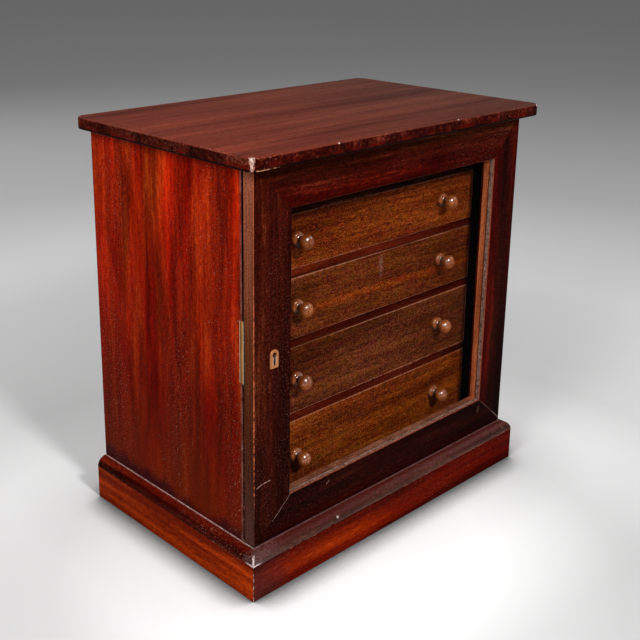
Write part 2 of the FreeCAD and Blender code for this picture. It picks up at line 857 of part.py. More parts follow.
# Drawer box: two sides dovetailed to the front and to the back
def drawer_box(index):
    low, high, side_top, floor_top = drawer_levels(index)
    inner = -drawer_half + drawer_side_thickness
    back_face = drawer_back - drawer_side_thickness
    lap = drawer_front + lap_thickness
    front_end = box(-drawer_half, inner, lap, drawer_inside, low, side_top)
    back_end = box(-drawer_half, inner, back_face, drawer_back, floor_top, side_top)
    front_pins = cut_all(front_end, front_tails(index))
    back_pins = cut_all(back_end, back_tails(index))
    side = box(-drawer_half, inner, lap, drawer_back, low, side_top)
    side = cut_all(side, [front_pins, back_pins, drawer_bottom(index)])
    sockets = back_tails(index)
    back = box(-drawer_half, drawer_half, back_face, drawer_back, floor_top, side_top)
    back = cut_all(back, sockets + [mirrored(socket) for socket in sockets])
    return [side, mirrored(side), back]


def knob():
    """One turned knob: a spigot, a bulging collar, a waist, a flattened ball and an end boss."""
    root_radius = neck_radius + neck_flare
    first = math.asin(root_radius / ball_radius)
    last = math.pi - math.asin(boss_radius / ball_radius)
    ball = []
    for step in range(ball_points):
        angle = first + (last - first) * step / (ball_points - 1)
        ball.append(vec(ball_radius * math.sin(angle), 0, ball_level - ball_half_height * math.cos(angle)))
    curve = Part.BSplineCurve()
    curve.interpolate(ball)
    end = ball[-1]
    tip = end.z + boss_rise
    foot = vec(0, 0, -drawer_front_thickness)
    spigot = Part.makePolygon([foot, foot + vec(spigot_radius, 0, 0), vec(spigot_radius, 0, 0),
                               vec(collar_edge_radius, 0, 0)])
    collar = Part.Arc(vec(collar_edge_radius, 0, 0), vec(collar_radius, 0, collar_height / 2),
                      vec(collar_edge_radius, 0, collar_height)).toShape()
    ledge = Part.makePolygon([vec(collar_edge_radius, 0, collar_height), vec(root_radius, 0, collar_height)])
    waist = Part.Arc(vec(root_radius, 0, collar_height), vec(neck_radius, 0, neck_level), ball[0]).toShape()
    boss = Part.makePolygon([end, vec(boss_tip_radius, 0, tip), vec(0, 0, tip), foot])
    wire = Part.Wire(spigot.Edges + [collar] + ledge.Edges + [waist, curve.toShape()] + boss.Edges)
    return Part.Face(wire).revolve(vec(0, 0, 0), vec(0, 0, 1), 360)


# Two knobs to a drawer, a little above its middle
def drawer_knobs(index):
    low, high, side_top, floor_top = drawer_levels(index)
    knob_z = (low + high) / 2 + knob_rise
    return [pointed_along(knob(), (side * knob_x, drawer_front, knob_z), into_door) for side in (-1, 1)]


nodes = {
    "top_board": [top_board()],
    "inner_top": [inner_top()],
    "side_left": [side_left()],
    "side_right": [side_right()],
    "bottom_board": [bottom_board()],
    "back_panel": [back_panel()],
    "frieze_rail": [frieze_rail()],
    "lining_left": [lining_left()],
    "lining_right": [lining_right()],
    "drawer_runners": drawer_runners(),
    "drawer_stops": drawer_stops(),
    "plinth_front": [plinth_front()],
    "plinth_left": [plinth_left()],
    "plinth_right": [plinth_right()],
    "plinth_back": [plinth_back()],
    "plinth_moulding_front": [plinth_moulding_front()],
    "plinth_moulding_left": [plinth_moulding_left()],
    "plinth_moulding_right": [plinth_moulding_right()],
    "plinth_blocks": plinth_blocks(),
    "link_plate": [link_plate()],
    "link_screws": link_screw_set(screws),
    "case_hinge_leaves": case_hinge_leaves(),
    "hinge_pins": hinge_pins(),
    "case_hinge_screws": case_hinge_screw_set(screws),
    "back_screws": back_screw_set(screws),
    "top_screws": top_screw_set(screws),
    "door_lock_stile": [door_lock_stile()],
    "door_hinge_stile": [door_hinge_stile()],
    "door_top_rail": [door_top_rail()],
    "door_bottom_rail": [door_bottom_rail()],
    "glass_pane": [glass_pane()],
    "glazing_beads": glazing_beads(),
    "escutcheon": [escutcheon()],
    "lock_case": [lock_case()],
    "lock_plate": [lock_plate()],
    "lock_pin": [lock_pin()],
    "lock_spring": [lock_spring()],
    "lock_screws": lock_screw_set(screws),
    "door_hinge_leaves": door_hinge_leaves(),
    "door_hinge_screws": door_hinge_screw_set(screws),
    "lock_bolt": [lock_bolt()],
}
for index in range(drawer_count - 1):
    nodes["divider_rail_%d" % (index + 1)] = [divider_rail(index)]
for index in range(drawer_count):
    nodes["drawer_%d_front" % (index + 1)] = [drawer_front_board(index)]
    nodes["drawer_%d_box" % (index + 1)] = drawer_box(index)
    nodes["drawer_%d_bottom" % (index + 1)] = [drawer_bottom(index)]
    nodes["drawer_%d_knobs" % (index + 1)] = drawer_knobs(index)

os.makedirs("parts", exist_ok=True)
for name, solids in nodes.items():
    shape = solids[0] if len(solids) == 1 else Part.makeCompound(solids)
    shape.exportStep("parts/%s.step" % name)
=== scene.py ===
import math

import bmesh
import bpy
from mathutils import Matrix, Vector


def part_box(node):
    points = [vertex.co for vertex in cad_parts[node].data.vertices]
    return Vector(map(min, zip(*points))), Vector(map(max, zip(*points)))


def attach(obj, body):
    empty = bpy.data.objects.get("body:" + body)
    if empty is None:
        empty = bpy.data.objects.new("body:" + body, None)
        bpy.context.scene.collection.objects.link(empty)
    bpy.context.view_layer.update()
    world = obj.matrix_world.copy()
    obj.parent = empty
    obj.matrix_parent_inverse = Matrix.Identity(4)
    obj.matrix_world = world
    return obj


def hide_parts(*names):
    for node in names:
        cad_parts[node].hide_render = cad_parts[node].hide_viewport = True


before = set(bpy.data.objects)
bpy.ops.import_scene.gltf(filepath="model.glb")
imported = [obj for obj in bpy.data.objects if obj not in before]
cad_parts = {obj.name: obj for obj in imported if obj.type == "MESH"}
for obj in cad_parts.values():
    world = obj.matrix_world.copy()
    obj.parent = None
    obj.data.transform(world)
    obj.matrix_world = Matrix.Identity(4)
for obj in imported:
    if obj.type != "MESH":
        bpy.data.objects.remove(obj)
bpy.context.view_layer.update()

# ---- Camera ----
# The photograph was taken from the left of the front, a little above the cabinet, with a longish
# lens. The lens and the point aimed at are in pixels of the square picture, and the shift is only
# what its framing needs.
picture, lens, aim_across, aim_down = 640, 1027.9, 286, 232
turn, tilt, lean = math.radians(43.49), math.radians(16.51), math.radians(0.39)
aim, distance = Vector((-0.06554, -0.0215, 0.32078)), 1.07783
look = Vector((math.sin(turn) * math.cos(tilt), math.cos(turn) * math.cos(tilt), -math.sin(tilt)))
level = look.cross(Vector((0, 0, 1))).normalized()
rise = level.cross(look)
across = level * math.cos(lean) + rise * math.sin(lean)
upward = rise * math.cos(lean) - level * math.sin(lean)
camera = bpy.data.objects.new("camera", bpy.data.cameras.new("camera"))
camera.data.sensor_width = 36
camera.data.lens = lens * camera.data.sensor_width / picture
camera.data.shift_x = (picture / 2 - aim_across) / picture
camera.data.shift_y = (aim_down - picture / 2) / picture
camera.data.clip_end = 60
pose = Matrix((across, upward, -look)).transposed().to_4x4()
pose.translation = aim - look * distance
camera.matrix_world = pose
bpy.context.collection.objects.link(camera)
bpy.context.scene.camera = camera
bpy.context.scene.view_settings.view_transform = "Standard"


# ---- Floor and light ----
# A plain pale studio floor with painted light: a painted pool of light that greys with distance
# and is palest close round the cabinet, and a painted contact shadow where the cabinet meets it; a
# key lamp above the front, a soft one on the left, weak ones elsewhere, and an even grey room.
class Plug:
    """One socket of a node tree. Sums on it add Math nodes, and add() adds any other node."""

    def __init__(self, tree, socket=None):
        self.tree, self.socket = tree, socket

    def add(self, kind, settings=None, values=None, out=0):
        """A node of this kind: first its settings, then the values or links of its sockets."""
        made = self.tree.nodes.new(kind)
        for name, setting in (settings or {}).items():
            if name == "stops":
                ramp = made.color_ramp
                while len(ramp.elements) < len(setting):
                    ramp.elements.new(1)
                for stop, (place, colour) in zip(ramp.elements, setting):
                    stop.position = place
                    stop.color = (*colour, 1)
            else:
                setattr(made, name, setting)
        for name, value in (values or {}).items():
            if isinstance(value, Plug):
                self.tree.links.new(value.socket, made.inputs[name])
            else:
                made.inputs[name].default_value = value
        return Plug(self.tree, made.outputs[out])

    def other(self, name):
        """Another output of the same node."""
        return Plug(self.tree, self.socket.node.outputs[name])

    def sum(self, operation, *terms, clamp=False):
        settings = {"operation": operation, "use_clamp": clamp}
        return self.add("ShaderNodeMath", settings, dict(enumerate(terms)))

    def vector(self, operation, *terms):
        """A Vector Math node. A length, a distance and a dot product are one number."""
        out = "Value" if operation in ("LENGTH", "DISTANCE", "DOT_PRODUCT") else "Vector"
        return self.add("ShaderNodeVectorMath", {"operation": operation},
                        dict(enumerate(terms)), out)

    def scaled(self, by):
        return self.add("ShaderNodeVectorMath", {"operation": "SCALE"}, {0: self, "Scale": by})

    def __add__(self, more):
        return self.sum("ADD", self, more)

    def __sub__(self, less):
        return self.sum("SUBTRACT", self, less)

    def __rsub__(self, whole):
        return self.sum("SUBTRACT", whole, self)

    def __mul__(self, times):
        return self.sum("MULTIPLY", self, times)

    def __truediv__(self, parts):
        return self.sum("DIVIDE", self, parts)

    def __rtruediv__(self, whole):
        return self.sum("DIVIDE", whole, self)

    def __abs__(self):
        return self.sum("ABSOLUTE", self)

    __radd__, __rmul__ = __add__, __mul__

    def least(self, other):
        return self.sum("MINIMUM", self, other)

    def most(self, other):
        return self.sum("MAXIMUM", self, other)

    def held(self):
        """Held between 0 and 1."""
        return self.sum("ADD", self, 0, clamp=True)

    def above(self, low, high):
        """0 up to low, 1 from high, and an even ramp between."""
        return ((self - low) / (high - low)).held()

    def below(self, low, high):
        """1 up to low, 0 from high, and an even ramp between."""
        return 1 - self.above(low, high)

    def mixed(self, first, second, way="MIX"):
        """The two colours mixed, with this value as the share of the second."""
        settings = {"data_type": "RGBA", "blend_type": way}
        first = first if isinstance(first, Plug) else (*first, 1)
        second = second if isinstance(second, Plug) else (*second, 1)
        return self.add("ShaderNodeMix", settings, {0: self, 6: first, 7: second}, out=2)

    def tinted(self, colour, cast):
        """The colour times this cast, where this value is 1."""
        return self.mixed(colour, cast, "MULTIPLY")


def axes(plug, place):
    """The x, the y and the z of a place."""
    x = plug.add("ShaderNodeSeparateXYZ", {}, {"Vector": place}, out="X")
    return x, x.other("Y"), x.other("Z")


def fresh(name):
    """A new material, and a plug on its empty tree."""
    finish = bpy.data.materials.new(name)
    finish.use_nodes = True
    finish.node_tree.nodes.clear()
    return finish, Plug(finish.node_tree)


def close(plug, surface):
    """Ends a material's tree."""
    end = plug.tree.nodes.new("ShaderNodeOutputMaterial")
    plug.tree.links.new(surface.socket, end.inputs["Surface"])


plinth_x, plinth_y = 0.2115, 0.133  # from the middle to the outside of the plinth
painted_pool_centre, fall_off = (-0.08, -0.12, 0), 5  # the middle of the pool of light painted on the floor, and how far its painted light greys
disc = bmesh.new()
bmesh.ops.create_circle(disc, cap_ends=True, segments=96, radius=14)
floor = bpy.data.objects.new("floor", bpy.data.meshes.new("floor"))
disc.to_mesh(floor.data)
disc.free()
bpy.context.collection.objects.link(floor)
finish, f = fresh("studio floor")
place = f.add("ShaderNodeTexCoord", out="Object")
away = f.vector("DISTANCE", place, painted_pool_centre)
# Painted light: the floor's grey is a painted pool of light that greys with distance from its
# middle.
floor_with_painted_light = f.add("ShaderNodeValToRGB", {"stops": [(at, (grey,) * 3) for at, grey in (
    (0.0, 0.84), (0.032, 0.82), (0.060, 0.60), (0.11, 0.73), (0.18, 0.77), (0.32, 0.59),
    (1.0, 0.77))]}, {"Fac": away / fall_off})
x, y, _ = axes(f, place)
beside = f.vector("LENGTH", f.add("ShaderNodeCombineXYZ", {}, {
    "X": (abs(x) - plinth_x).most(0.0), "Y": (abs(y) - plinth_y).most(0.0)}))
# More painted light: paler close round the plinth, greyer a little further out, and paler again
# far off.
floor_with_painted_light = floor_with_painted_light.scaled(1.09 - beside.above(0.10, 0.22) * 0.22 + beside.above(0.30, 0.60) * 0.13)
# A painted contact shadow, darker where ambient occlusion finds the cabinet close by.
painted_contact_shadow = f.add("ShaderNodeAmbientOcclusion", {"samples": 8}, {"Distance": 0.045}, out="AO")
floor_with_painted_light = painted_contact_shadow.above(0.54, 0.90).mixed((0.11, 0.114, 0.114), floor_with_painted_light)
close(f, f.add("ShaderNodeBsdfPrincipled", {}, {
    "Base Color": floor_with_painted_light, "Roughness": 0.9, "Specular IOR Level": 0.1}))
floor.data.materials.append(finish)


def lamp(name, watts, size, place):
    """A round lamp, turned to the middle of the case."""
    light = bpy.data.lights.new(name, "AREA")
    light.energy, light.shape, light.size = watts, "DISK", size
    made = bpy.data.objects.new(name, light)
    made.location = place
    facing = Vector((0, 0, 0.2)) - Vector(place)
    made.rotation_euler = facing.to_track_quat("-Z", "Y").to_euler()
    bpy.context.collection.objects.link(made)


lamp("key lamp", 33, 0.36, (-0.34, -1.60, 1.50))
lamp("left lamp", 28, 1.0, (-1.75, -0.35, 1.40))
lamp("right lamp", 9, 1.4, (2.0, -1.0, 1.6))
lamp("back lamp", 9, 1.4, (0.2, 2.2, 1.6))
lamp("top lamp", 6, 0.5, (0.1, 0.15, 1.9))
world = bpy.data.worlds.new("room")
world.use_nodes = True
room = world.node_tree.nodes["Background"].inputs
room["Color"].default_value, room["Strength"].default_value = (0.62, 0.62, 0.62, 1), 0.26
bpy.context.scene.world = world


# ---- Case sides ----
# Two boards of ribbon-striped mahogany, grain upright, French polished to a bright red-orange.
# They are housed for the inner top and the bottom board, and rebated for the back panel.
half_case = 0.2


def clouds(w, place, scale, detail=2.0, roughness=0.5, distortion=0.0, pull=None,
           start=(0, 0, 0)):
    """Cloudy unevenness, drawn out along the axes where pull is small."""
    if pull:
        place = w.add("ShaderNodeMapping", {}, {"Vector": place, "Location": start, "Scale": pull})
    return w.add("ShaderNodeTexNoise", {}, {
        "Vector": place, "Scale": scale, "Detail": detail, "Roughness": roughness,
        "Distortion": distortion})


def mahogany(node, along, tones, shift=0.0, ribbon=1.0, length=0.10, streak=0.6, dark=0.4,
             fleck=0.0, mottle=0.4, grit=0.8, dust=0.5, wear=0.6, whole=0.0, nicks=0.0,
             wear_and_highlight_colour=(0.42, 0.11, 0.05), rough=0.34, edge=None, local=None, shine=0.006,
             relief=0.35, coat=None, wood="mahogany"):
    """Polished wood for one node. along is the axis of its grain, tones its colours from dark to
    light figure, and shift moves the figure, so that no two boards are alike. ribbon, streak,
    fleck, mottle and grit are the strength of each kind of figure, length is the width of the
    ribbons to their length, dark the strength of sparse dark streaks and dust that of pale dust
    and pale specks, the specks partly dust and partly painted glints of the polish. wear is the
    width in mm of the rubbed arrises, whose pale colour is partly wear and partly a painted
    highlight, worn the colour of those arrises, whole how unbroken they are, and nicks how many
    pale nicks they have. rough and shine are the polish, and relief is how much the grain is felt.
    edge(w, place) is how far a point is from an arris, local(w, place, colour) the colour with
    this board's own marks and, on some boards, its painted light and shade, and coat(w, place)
    where hard wax lies."""
    finish, w = fresh(f"{wood} {node}")
    place = w.add("ShaderNodeTexCoord", out="Object")

    def grained(share, scale, detail=2.0, roughness=0.55, distortion=0.0, aside=0.0):
        """Clouds pulled out along the grain."""
        pull = [1.0, 1.0, 1.0]
        pull[along] = share
        return clouds(w, place, scale, detail, roughness, distortion, pull,
                      (shift + aside, shift * 0.73, shift * 0.41))

    broad = grained(length, 34, 2.0, 0.5, 0.5) - 0.5
    bands = grained(length * 0.6, 110, 1.0, 0.5, 0.3, aside=3.0) - 0.5
    lines = grained(0.045, 300, 2.0, 0.6) - 0.5
    fine = grained(0.14, 760, 2.0, 0.65) - 0.5
    pores = grained(0.16, 1100, 1.0, 0.5).above(0.58, 0.70)
    tone = (0.5 + broad * (2.0 * ribbon) + bands * ribbon + lines * (1.2 * streak)
            + fine * 0.9)
    if fleck:
        tone = tone + (grained(0.36, 640, 3.0, 0.75, 1.6) - 0.5) * (1.8 * fleck)
    if mottle:
        tone = tone + (grained(0.5, 300, 3.0, 0.7) - 0.5) * (1.2 * mottle)
    colour = w.add("ShaderNodeValToRGB", {"stops": tones}, {"Fac": tone.held()})
    sooty = grained(0.04, 60, 3.0, 0.6, 0.2, aside=8.0).above(0.56, 0.74)
    colour = (sooty * dark).tinted(colour, (0.34, 0.30, 0.32))
    if local:
        colour = local(w, place, colour)
    colour = (pores * 0.45).mixed(colour, (0.010, 0.0015, 0.0008))
    sand = clouds(w, place, 820, 1.0, 0.6)
    colour = colour.scaled((sand - 0.5) * (2.6 * grit) + 1)

    patchy = grained(0.3, 17, 2.0, aside=5.0)
    flour = clouds(w, place, 560, 2.0, 0.7).above(0.585, 0.665) * patchy.above(0.42, 0.60)
    colour = (flour * (dust * 0.75)).mixed(colour, (0.34, 0.115, 0.070))
    cells = w.add("ShaderNodeTexVoronoi", {}, {"Vector": place, "Scale": 210.0}, out="Distance")
    chosen = w.add("ShaderNodeSeparateColor", {}, {"Color": cells.other("Color")}, out="Red")
    # Pale specks, partly dust and partly painted glints of the polish.
    specks_and_glints = chosen.above(0.94, 0.96) * cells.below(0.04, 0.13) * patchy.above(0.40, 0.55)
    colour = (specks_and_glints * dust).mixed(colour, (0.46, 0.30, 0.25))

    if edge is None:
        low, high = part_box(node)
        runs = [(high[i] - low[i]) / 2 - abs(part - (high[i] + low[i]) / 2)
                for i, part in enumerate(axes(w, place))]
        rim = runs[0].least(runs[1]).most(runs[0].most(runs[1]).least(runs[2]))
    else:
        rim = edge(w, place)
    chips = clouds(w, place, 190, 3.0, 0.7)
    broken = chips.above(0.38, 0.72) * patchy.above(0.40, 0.62) * (wear * 0.0022)
    reach = broken + (chips * 0.4 + 0.8) * (whole * wear * 0.0007)
    # The rubbed arrises: their pale colour is partly wear and partly a painted highlight along the
    # arris.
    rubbed_and_highlit = ((reach - rim) / 0.0004).held()
    colour = (rubbed_and_highlit * 0.85).mixed(colour, wear_and_highlight_colour)
    if nicks:
        bitten = (chosen.above(1 - nicks, 1.02 - nicks) * cells.below(0.12, 0.26)
                  * rim.below(0.0008, 0.0020))
        colour = bitten.mixed(colour, (0.58, 0.42, 0.36))

    height = fine * 0.5 + lines * 0.4 - pores * 0.8 - rubbed_and_highlit * 0.8
    bump = w.add("ShaderNodeBump", {}, {"Strength": relief, "Distance": 0.0003, "Height": height})
    close(w, w.add("ShaderNodeBsdfPrincipled", {}, {
        "Base Color": colour, "Roughness": patchy * 0.16 + (rough - 0.04) + rubbed_and_highlit * 0.15,
        "Specular IOR Level": shine, "Normal": bump,
        "Coat Weight": coat(w, place) if coat else 0.0, "Coat IOR": 2.1, "Coat Roughness": 0.2}))
    return finish


def wears(node, finish):
    """The CAD piece keeps its shape and takes this finish."""
    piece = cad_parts[node]
    if piece.material_slots:
        for held in piece.material_slots:
            held.material = finish
    else:
        piece.data.materials.append(finish)


side_tones = [(0.0, (0.108, 0.0032, 0.0003)), (0.25, (0.176, 0.0062, 0.0005)),
              (0.5, (0.268, 0.0108, 0.0009)), (0.75, (0.350, 0.0175, 0.0014)),
              (1.0, (0.520, 0.0420, 0.0034))]
side_front, side_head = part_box("side_left")[0][1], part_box("side_left")[1][2]


def side_marks_and_painted_shade(w, place, colour):
    """Painted shade darkening the lower half, a plainer dark colour over the foot, a painted
    shadow just above the moulding, grey dust and a painted highlight on the arris by the door, and
    painted black shade in its gap and under the top board."""
    _, y, z = axes(w, place)
    # Painted shade: darker towards the bottom, for light that falls off downwards.
    colour = z.below(0.17, 0.38).tinted(colour, (0.39, 0.37, 0.36))
    hue = clouds(w, place, 48, pull=(1, 1, 0.10))
    colour = hue.above(0.52, 0.66).tinted(colour, (0.62, 1.00, 1.20))
    colour = hue.below(0.36, 0.48).tinted(colour, (1.06, 0.50, 0.50))
    foot = z.below(0.055, 0.17)
    colour = (foot * 0.72).mixed(colour, (0.108, 0.0088, 0.0012))
    drift = (hue - 0.5) * 0.03 - y * 0.03
    # A painted shadow: a dark purple-brown band just above the moulding.
    colour = (z + drift).below(0.053, 0.064).mixed(colour, (0.034, 0.0036, 0.0042))
    wave = clouds(w, place, 90)
    back = y - side_front
    # Grey dust on the arris by the door, with a painted highlight along it.
    dust_and_painted_highlight = (back + (wave - 0.5) * 0.003).below(0.0030, 0.0050) * 0.62
    colour = dust_and_painted_highlight.mixed(colour, wave.above(0.4, 0.66).mixed((0.085, 0.024, 0.016),
                                                              (0.210, 0.105, 0.090)))
    # Painted shade: black in the gap by the door and under the top board's overhang.
    painted_shade_under_top = z.above(side_head - 0.0030, side_head - 0.0014)
    painted_gap_shade = painted_shade_under_top.most(back.below(0.0012, 0.0018))
    return painted_gap_shade.mixed(colour, (0.003, 0.001, 0.001))


for node, shift in (("side_left", 0.0), ("side_right", 3.7)):
    wears(node, mahogany(node, 2, side_tones, shift=shift, length=0.18, mottle=0.9, dark=0.5,
                         dust=0.7, wear=0.3, local=side_marks_and_painted_shade))


# ---- Top board ----
# One mahogany board that overhangs on every side, its corners rounded and its edges rubbed, their
# pale arris partly a painted highlight, with many small chips. The screws that hold it come up
# through the inner top.
top_low, top_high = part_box("top_board")
corner = 0.012


def round_cornered(w, place):
    """How far a point is from the upper arris, which runs round the corners."""
    parts = axes(w, place)
    over = [abs(parts[i] - (top_high[i] + top_low[i]) / 2)
            - ((top_high[i] - top_low[i]) / 2 - corner) for i in range(2)]
    out = w.add("ShaderNodeCombineXYZ", {}, {"X": over[0].most(0), "Y": over[1].most(0)})
    bow = w.vector("LENGTH", out)
    wall = corner - bow - over[0].most(over[1]).least(0)
    return wall.most(top_high[2] - parts[2])


top_tones = [(0.0, (0.068, 0.0120, 0.0072)), (0.3, (0.092, 0.0190, 0.0116)),
             (0.5, (0.108, 0.0244, 0.0148)), (0.75, (0.125, 0.0280, 0.0165)),
             (1.0, (0.170, 0.0380, 0.0210))]


def top_polish(w, place, colour):
    """The face is redder to the left and browner to the right. The edge is stained nearly black,
    with a line of painted black shade along its foot, and the corner by the lock is knocked pale."""
    x, y, z = axes(w, place)
    cast = x.above(-half_case, half_case).mixed((1.22, 0.90, 0.76), (0.74, 0.97, 1.02))
    colour = w.vector("MULTIPLY", colour, cast)
    stain, cloud = clouds(w, place, 240, 4.0, 0.75), clouds(w, place, 42)
    edge_tone = w.add("ShaderNodeValToRGB", {"stops": [
        (0.37, (0.004, 0.0004, 0.0002)), (0.46, (0.020, 0.0016, 0.0007)),
        (0.54, (0.050, 0.0044, 0.0019)), (0.65, (0.190, 0.0430, 0.0200))]},
        {"Fac": stain * 0.6 + cloud * 0.4})
    left, front, bottom = top_low
    foot = z - bottom
    redder = cloud.above(0.48, 0.60) * foot.below(0.004, 0.008)
    edge_tone = redder.mixed(edge_tone, (0.072, 0.0024, 0.0012))
    fore = y.below(front + 0.001, front + 0.003)
    edge_tone = fore.tinted(edge_tone, (0.78, 0.52, 0.58))
    edge = z.below(top_high[2] - 0.0014, top_high[2] - 0.0007)
    colour = edge.mixed(colour, edge_tone)
    notched = (round_cornered(w, place) + (stain - 0.42) * 0.007).below(0.0002, 0.0008)
    colour = notched.mixed(colour, (0.020, 0.0026, 0.0012))
    # Painted shade: a black line along the foot of the edge, for the shadow under the overhang.
    colour = foot.below(0.0018, 0.0026).mixed(colour, (0.004, 0.0010, 0.0008))
    slip = (foot.below(0.0009, 0.0017) * y.below(front + 0.001, front + 0.002)
            * x.below(left + 0.026, left + 0.034))
    colour = (slip * stain.above(0.47, 0.51)).mixed(colour, (0.50, 0.20, 0.085))
    flat = w.add("ShaderNodeCombineXYZ", {}, {"X": x, "Y": y})
    gap = w.vector("DISTANCE", flat, (left + 0.0035, front + 0.0035, 0))
    knocked = (foot * 0.14 + 0.0012 + (stain - 0.5) * 0.012 - gap).above(0.0, 0.0008)
    gap = w.vector("DISTANCE", place, (top_high[0] - 0.008, front + 0.0006, top_high[2] - 0.001))
    knocked = knocked.most((0.0022 + (stain - 0.5) * 0.004 - gap).above(0.0, 0.0005))
    return knocked.mixed(colour, stain.above(0.40, 0.60).mixed((0.66, 0.50, 0.46),
                                                               (0.26, 0.085, 0.05)))


wears("top_board", mahogany("top_board", 0, top_tones, shift=1.3, ribbon=0.8, length=0.07,
                            streak=0.9, mottle=0.3, grit=0.35, dark=0.7, dust=0.35, wear=0.55,
                            nicks=0.16, edge=round_cornered, wear_and_highlight_colour=(0.30, 0.12, 0.07),
                            local=top_polish, rough=0.3, shine=0.012))


# ---- Boards inside the case ----
# Plain straight-grained boards, stained but hardly polished: the inner top, the bottom, the back
# panel, the runners and stops of the drawers, and the glue blocks and back board of the plinth.
inner_tones = [(0.0, (0.070, 0.018, 0.007)), (0.4, (0.130, 0.036, 0.014)),
               (0.7, (0.180, 0.056, 0.022)), (1.0, (0.240, 0.080, 0.033))]
for number, (node, along) in enumerate((
        ("inner_top", 0), ("bottom_board", 0), ("back_panel", 2), ("drawer_runners", 1),
        ("drawer_stops", 0), ("plinth_blocks", 0), ("plinth_back", 0))):
    wears(node, mahogany(node, along, inner_tones, shift=5.1 + number * 1.9, ribbon=0.8, grit=0.4,
                         dust=0.25, rough=0.55, wear=0.5, wear_and_highlight_colour=(0.30, 0.12, 0.06), shine=0.1))


# ---- Linings and frieze ----
# Upright boards coloured near black, which bring the drawers in clear of the door frame, and the
# plain rail between them above the top drawer, coloured near black as painted shade.
black_tones = [(0.0, (0.0010, 0.0006, 0.0005)), (0.5, (0.0024, 0.0014, 0.0011)),
               (1.0, (0.0060, 0.0034, 0.0026))]
for number, node in enumerate(("lining_left", "lining_right")):
    wears(node, mahogany(node, 2, black_tones, shift=20 + number, ribbon=0.8, dust=0.08, rough=0.5,
                         wear=0.2, wear_and_highlight_colour=(0.05, 0.02, 0.01), shine=0.02, wood="near black"))
# Painted shade: the frieze rail is coloured near black for the shade of the door's top rail.
frieze_shade_tones = [(0.0, (0.006, 0.0010, 0.0005)), (0.5, (0.016, 0.0026, 0.0010)),
                (1.0, (0.040, 0.0070, 0.0026))]
wears("frieze_rail", mahogany("frieze_rail", 0, frieze_shade_tones, shift=24, dust=0.1))


# ---- Dividing rails ----
# Thin rails of redder mahogany between the linings, one under each of the three upper drawers.
# The runners of the drawers stand behind them.
rail_tones = [(0.0, (0.024, 0.0018, 0.0006)), (0.5, (0.060, 0.0050, 0.0014)),
              (1.0, (0.130, 0.0140, 0.0036))]


def darker_right(w, place, colour):
    """Less light reaches the rails towards the hinges."""
    return axes(w, place)[0].above(-0.15, 0.16).tinted(colour, (0.45, 0.32, 0.35))


for number in (1, 2, 3):
    node = f"divider_rail_{number}"
    wears(node, mahogany(node, 0, rail_tones, shift=27 + number * 2.3, dust=0.15, wear=0.5,
                         local=darker_right))


# ---- Plinth ----
# Three upright boards round the foot, mitred at the front corners: bright orange-red at the side,
# and at the front darker at the left end, with painted shade under the moulding and along the
# foot.
plinth_tones = [(0.0, (0.118, 0.0072, 0.0006)), (0.3, (0.208, 0.0168, 0.0010)),
                (0.6, (0.305, 0.0270, 0.0015)), (1.0, (0.510, 0.0690, 0.0030))]


def front_stain_and_shade(w, place, colour):
    """An orange glow on the left half, darker at its left end, painted shade under the moulding
    and a painted shadow along the foot, and an arris knocked black and pale."""
    x, _, z = axes(w, place)
    wander = (clouds(w, place, 26, 3.0, pull=(0.4, 1, 1)) - 0.5) * 0.16
    tall, across = z + wander * 0.04, x + wander
    colour = w.vector("MULTIPLY", colour, (0.44, 0.20, 0.45))
    glow = (tall.above(0.008, 0.018) * tall.below(0.022, 0.034) * across.below(-0.06, 0.04)
            * across.above(-0.18, -0.13))
    colour = (glow * 0.9).tinted(colour, (1.75, 2.9, 0.80))
    left = (x + wander * 0.5).below(-0.197, -0.165)
    colour = (left * 0.8).mixed(colour, (0.058, 0.0110, 0.0095))
    colour = across.above(0.06, 0.20).tinted(colour, (0.85, 0.42, 0.60))
    # Painted shade under the overhang of the moulding, weaker to the right.
    painted_shade_under = tall.above(0.026, 0.038) * (1 - x.above(0.0, 0.10) * 0.7)
    colour = (painted_shade_under * 0.85).tinted(colour, (0.24, 0.18, 0.30))
    # A painted shadow along the foot, deeper to the right.
    painted_foot_shadow = (tall - x * 0.018).below(0.0045, 0.0075) * across.above(-0.12, 0)
    colour = (painted_foot_shadow * 0.85).tinted(colour, (0.26, 0.20, 0.40))
    knocks = clouds(w, place, 260)
    arris = (x + plinth_x).below(0.0006, 0.0011)
    return arris.mixed(colour, knocks.above(0.50, 0.60).mixed((0.012, 0.0015, 0.0010),
                                                             (0.420, 0.300, 0.290)))


for node, along, local, shift in (("plinth_front", 0, front_stain_and_shade, 31.0),
                                  ("plinth_left", 1, None, 33.5),
                                  ("plinth_right", 1, None, 36.5)):
    wears(node, mahogany(node, along, plinth_tones, shift=shift, ribbon=1.2, length=0.05,
                         dust=0.25, wear=0.45, dark=0.3, local=local))


def growth(name, inputs):
    """A new Geometry Nodes tree with these named inputs, and a plug on its group input."""
    tree = bpy.data.node_groups.new(name, "GeometryNodeTree")
    tree.interface.new_socket("Geometry", in_out="INPUT", socket_type="NodeSocketGeometry")
    for label, kind in inputs.items():
        tree.interface.new_socket(label, in_out="INPUT", socket_type="NodeSocket" + kind)
    tree.interface.new_socket("Geometry", in_out="OUTPUT", socket_type="NodeSocketGeometry")
    return tree, Plug(tree).add("NodeGroupInput", out="Geometry")


def ripen(given, made):
    """Ends a tree: its instances made real, and its finish set."""
    whole = given.add("GeometryNodeRealizeInstances", {}, {"Geometry": made})
    done = given.add("GeometryNodeSetMaterial", {}, {
        "Geometry": whole, "Material": given.other("Finish")})
    end = given.tree.nodes.new("NodeGroupOutput")
    given.tree.links.new(done.socket, end.inputs["Geometry"])


